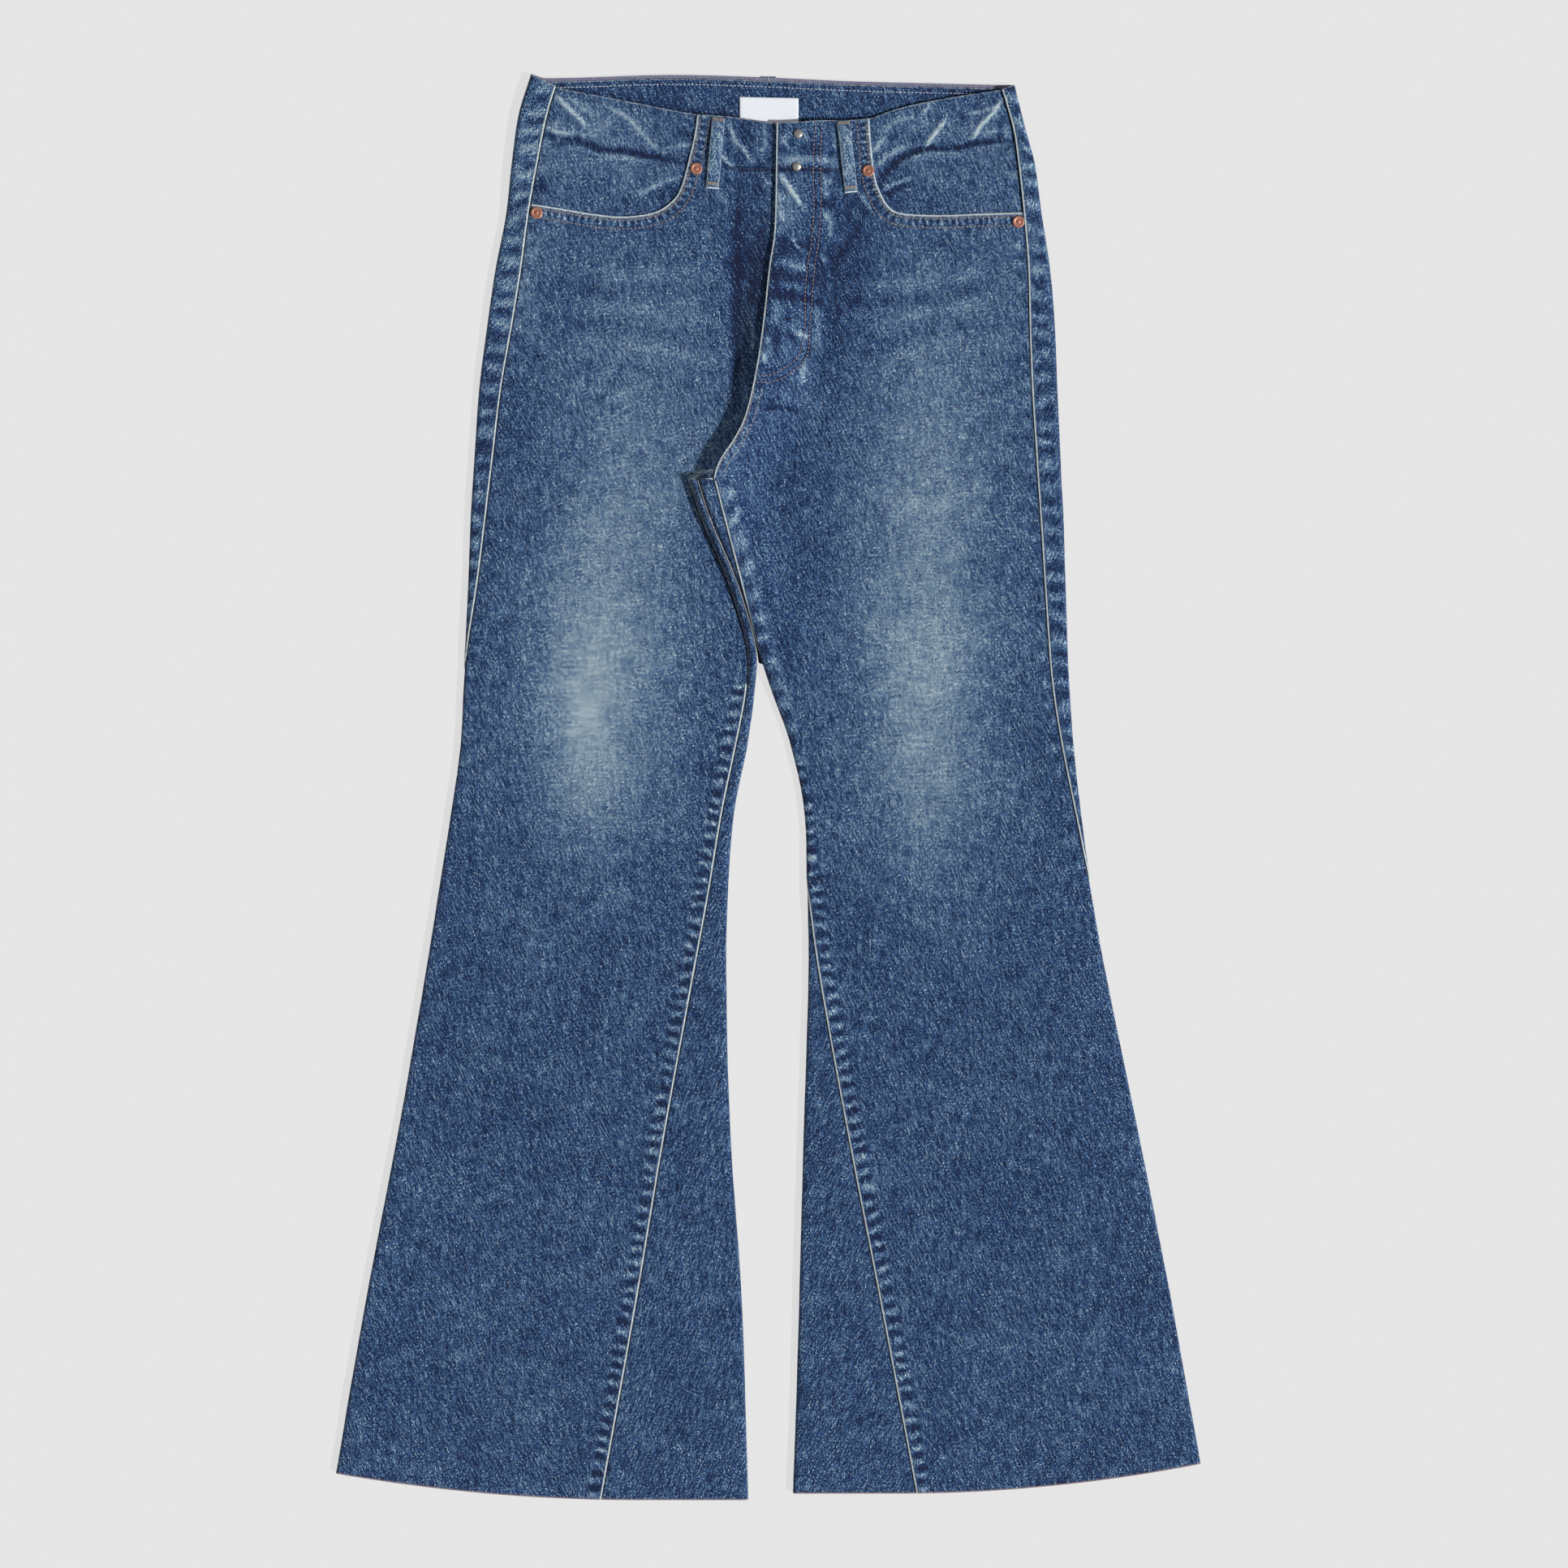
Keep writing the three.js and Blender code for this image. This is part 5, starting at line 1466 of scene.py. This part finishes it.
seam_look.links.new(calc(seam_look, "MAXIMUM", white, folded, clamp=True), gives["White"])
# painted shade: Dark darkens the groove under a lapping edge, a line just inside a lap and the stitch rows of the
# pocket mouths
groove = calc(seam_look, "MULTIPLY", blur_step(seam_look, given["under"], 0.3, 1.5), 0.85)
inner = calc(seam_look, "MULTIPLY", blur_step(seam_look, calc(seam_look, "ABSOLUTE", calc(seam_look, "SUBTRACT", given["lap"], 1.9)),
                                         0.1, 0.7), 0.28)
for row in POCKET_ROWS:
    off_row = calc(seam_look, "ABSOLUTE", calc(seam_look, "SUBTRACT", given["frayed"], row))
    inner = calc(seam_look, "MAXIMUM", inner, calc(seam_look, "MULTIPLY", blur_step(seam_look, off_row, 0.3, 1.1), 0.42))
seam_look.links.new(calc(seam_look, "MAXIMUM", groove, inner), gives["Dark"])
lilac = calc(seam_look, "MULTIPLY_ADD", grit, 0.5, 0.6)
seam_look.links.new(calc(seam_look, "MULTIPLY", blur_step(seam_look, given["ridge"], 2.0, 3.4), lilac), gives["Lilac"])
frayed = calc(seam_look, "MULTIPLY", blur_step(seam_look, given["raw"], 0.5, 1.4), calc(seam_look, "MULTIPLY_ADD", grit, 0.5, 0.75))
seam_look.links.new(frayed, gives["Brown"])
drift = calc(seam_look, "MULTIPLY", speckle(seam_look, place.outputs[0], 30.0, 30.0), 3.0)
beats = calc(seam_look, "SINE", calc(seam_look, "MULTIPLY_ADD", given["beat"], 2 * math.pi, drift))
beats = calc(seam_look, "MULTIPLY_ADD", beats, 0.32, calc(seam_look, "MULTIPLY_ADD", patchy, 0.26, 0.0))
halo = calc(seam_look, "MULTIPLY", blur_step(seam_look, given["lap"], 1.0, 3.4), 0.05)
seam_look.links.new(calc(seam_look, "MULTIPLY_ADD", beats, given["pucker"], halo), gives["Tone"])

# %% Denim materials
INDIGO = [
    (0.00, (12, 22, 52)), (0.22, (22, 50, 97)), (0.38, (37, 77, 128)), (0.52, (71, 110, 152)),
    (0.68, (113, 144, 164)), (0.84, (158, 180, 186)), (1.00, (212, 223, 221)),
]


def denim(name, base, tone_gain=1.0, seams=True):
    material = bpy.data.materials.new(name)
    material.use_nodes = True
    tree = material.node_tree
    shader = tree.nodes["Principled BSDF"]
    uv = new_node(tree, "ShaderNodeUVMap", uv_map="cloth").outputs[0]
    read = {key: new_node(tree, "ShaderNodeAttribute", attribute_name=key).outputs["Fac"] for key in
            ("tone", *seam_names)}
    toned = calc(tree, "MULTIPLY_ADD", read["tone"], tone_gain, base)
    cloth = new_node(tree, "ShaderNodeGroup", node_tree=weave)
    tree.links.new(uv, cloth.inputs["Place"])
    tree.links.new(read["tone"], cloth.inputs["WashAndShade"])
    edges = new_node(tree, "ShaderNodeGroup", node_tree=seam_look)
    tree.links.new(uv, edges.inputs["Place"])
    for key in seam_names:
        tree.links.new(read[key], edges.inputs[key])
    tone = total(tree, toned, cloth.outputs["Tone"], edges.outputs["Tone"])
    ramp = new_node(tree, "ShaderNodeValToRGB", {"Fac": tone})
    stops = ramp.color_ramp.elements
    for k, (position, colour) in enumerate(INDIGO):
        stop = stops[k] if k < 2 else stops.new(position)
        stop.position = position
        stop.color = linear(*colour)
    colour = ramp.outputs[0]
    # White is the worn edges, Dark is painted shade in the seam grooves, Brown the frayed hems, Lilac the back waist's
    # edge
    for mask, paint in (("White", (226, 235, 232)), ("Dark", (14, 18, 30)), ("Brown", (150, 126, 124)),
                        ("Lilac", (142, 136, 156))):
        mixed = new_node(tree, "ShaderNodeMix", {"Factor": edges.outputs[mask]}, data_type="RGBA")
        tree.links.new(colour, mixed.inputs["A"])
        mixed.inputs["B"].default_value = linear(*paint)
        colour = mixed.outputs["Result"]
    tree.links.new(colour, shader.inputs["Base Color"])
    bump = new_node(tree, "ShaderNodeBump", {"Height": cloth.outputs["Height"], "Strength": 0.5,
                                             "Distance": 0.12 * MM})
    tree.links.new(bump.outputs[0], shader.inputs["Normal"])
    shader.inputs["Roughness"].default_value = 0.92
    shader.inputs["Specular IOR Level"].default_value = 0.15
    shader.inputs["Sheen Weight"].default_value = 0.12
    shader.inputs["Sheen Roughness"].default_value = 0.6
    return material


washed_denim = denim("washed_denim", 0.222)
inside_denim = denim("inside_denim", 0.25)
strap_denim = denim("strap_denim", 0.37)

# %% [markdown]
# ## Label, thread and metal
# The label is a bare white satin weave. The thread has gone brown and dull in the wash, the inside thread is
# white, the copper is mottled with darker oxide, and the studs are satin nickel.

# %% Other materials
def plain_material(name, light, dark, roughness, metallic=0.0, wide=0.8, high=0.8, bump=0.05, soft=1.0):
    """A finish whose colour, roughness and relief all vary a little, on object coordinates."""
    material = bpy.data.materials.new(name)
    material.use_nodes = True
    tree = material.node_tree
    shader = tree.nodes["Principled BSDF"]
    place = new_node(tree, "ShaderNodeTexCoord").outputs["Object"]
    place = new_node(tree, "ShaderNodeVectorMath", {0: place, 1: (1000, 1000, 1000)}, operation="MULTIPLY").outputs[0]
    spots = speckle(tree, place, wide, high, 2.0, 0.6)
    share = calc(tree, "MULTIPLY_ADD", spots, 0.9 * soft, 0.5, clamp=True)
    mixed = new_node(tree, "ShaderNodeMix", {"Factor": share}, data_type="RGBA")
    mixed.inputs["A"].default_value = linear(*dark)
    mixed.inputs["B"].default_value = linear(*light)
    tree.links.new(mixed.outputs["Result"], shader.inputs["Base Color"])
    tree.links.new(calc(tree, "MULTIPLY_ADD", spots, -0.12, roughness), shader.inputs["Roughness"])
    relief = new_node(tree, "ShaderNodeBump", {"Height": spots, "Strength": 0.4, "Distance": bump * MM})
    tree.links.new(relief.outputs[0], shader.inputs["Normal"])
    shader.inputs["Metallic"].default_value = metallic
    return material


label_satin = plain_material("label_satin", (240, 243, 247), (226, 231, 239), 0.62, wide=0.5, high=2.4, bump=0.03)
brown_thread = plain_material("brown_thread", (178, 158, 140), (98, 90, 98), 0.85, wide=2.4, high=2.4)
tack_thread = plain_material("tack_thread", (190, 160, 122), (140, 114, 90), 0.85, wide=1.6, high=1.6)
dark_thread = plain_material("dark_thread", (84, 78, 90), (44, 44, 62), 0.85, wide=2.0, high=2.0)
white_thread = plain_material("white_thread", (214, 218, 220), (176, 184, 194), 0.85, wide=1.0, high=1.0)
rivet_copper = plain_material("rivet_copper", (198, 140, 118), (142, 94, 78), 0.48, 0.45, 1.3, 1.3)
stud_nickel = plain_material("stud_nickel", (196, 192, 184), (150, 148, 144), 0.4, 0.85, 1.1, 1.1)

# %% [markdown]
# ## Hand over the pieces
# Every piece rides on the one body, stands for its node in the frame and takes its material. Every sheet also
# says the size that it was cut to, which is measured on its flat outline.

# %% Ride, replace and finish
def flat_cut(piece):
    """Width, length and area of the flat cloth, in metres, from its UV map."""
    mesh = piece.data
    uv = np.zeros(len(mesh.loops) * 2)
    mesh.uv_layers["cloth"].data.foreach_get("uv", uv)
    uv = uv.reshape(-1, 2)
    area = 0.0
    for face in mesh.polygons:
        if len(face.vertices) == 3:
            (ax, ay), (bx, by), (cx, cy) = uv[face.loop_start : face.loop_start + 3]
            area += abs((bx - ax) * (cy - ay) - (cx - ax) * (by - ay)) / 2
    width, length = uv.max(axis=0) - uv.min(axis=0)
    return round(float(width), 4), round(float(length), 4), float(area / 2)


def hand_over(piece, material, slot, *nodes):
    piece.data.materials.clear()
    piece.data.materials.append(material)
    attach(piece, "root")
    if nodes:
        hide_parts(*nodes)


def declare_cloth(piece, material, slot, rests_on, *nodes):
    hand_over(piece, material, slot, *nodes)
    width, length, area = flat_cut(piece)
    print(piece.name, "cut to", round(width, 3), "by", round(length, 3), "m, area", round(area, 4))


for side in ("right", "left"):
    back, front, facing = backs[side], fronts[side], facings[side]
    declare_cloth(back, washed_denim, "denim", [], f"back_panel_{side}")
    declare_cloth(front, washed_denim, "denim", [back], f"front_panel_{side}")
    declare_cloth(facing, washed_denim, "denim", [front], f"pocket_facing_{side}")
declare_cloth(fly_facing, washed_denim, "denim", [fronts["left"]], "fly_band")
declare_cloth(waist_inside, inside_denim, "denim_inside", [*backs.values()], "waist_facing")
declare_cloth(bare_label, label_satin, "label", [waist_inside], "label")
for name, loop in loops.items():
    declare_cloth(loop, strap_denim, "denim", [fronts["right" if "right" in name else "left"]], name)
declare_cloth(back_loop, strap_denim, "denim", [], "belt_loop_back_centre")
for name, piece in metal.items():
    is_rivet = name.startswith("rivet")
    hand_over(piece, rivet_copper if is_rivet else stud_nickel, "copper" if is_rivet else "nickel", name)
threads = {"inside_stitches": white_thread, "loop_tacks": tack_thread, "waist_stitches": dark_thread}
for name, row in rows.items():
    hand_over(row, threads.get(name, brown_thread), "denim")
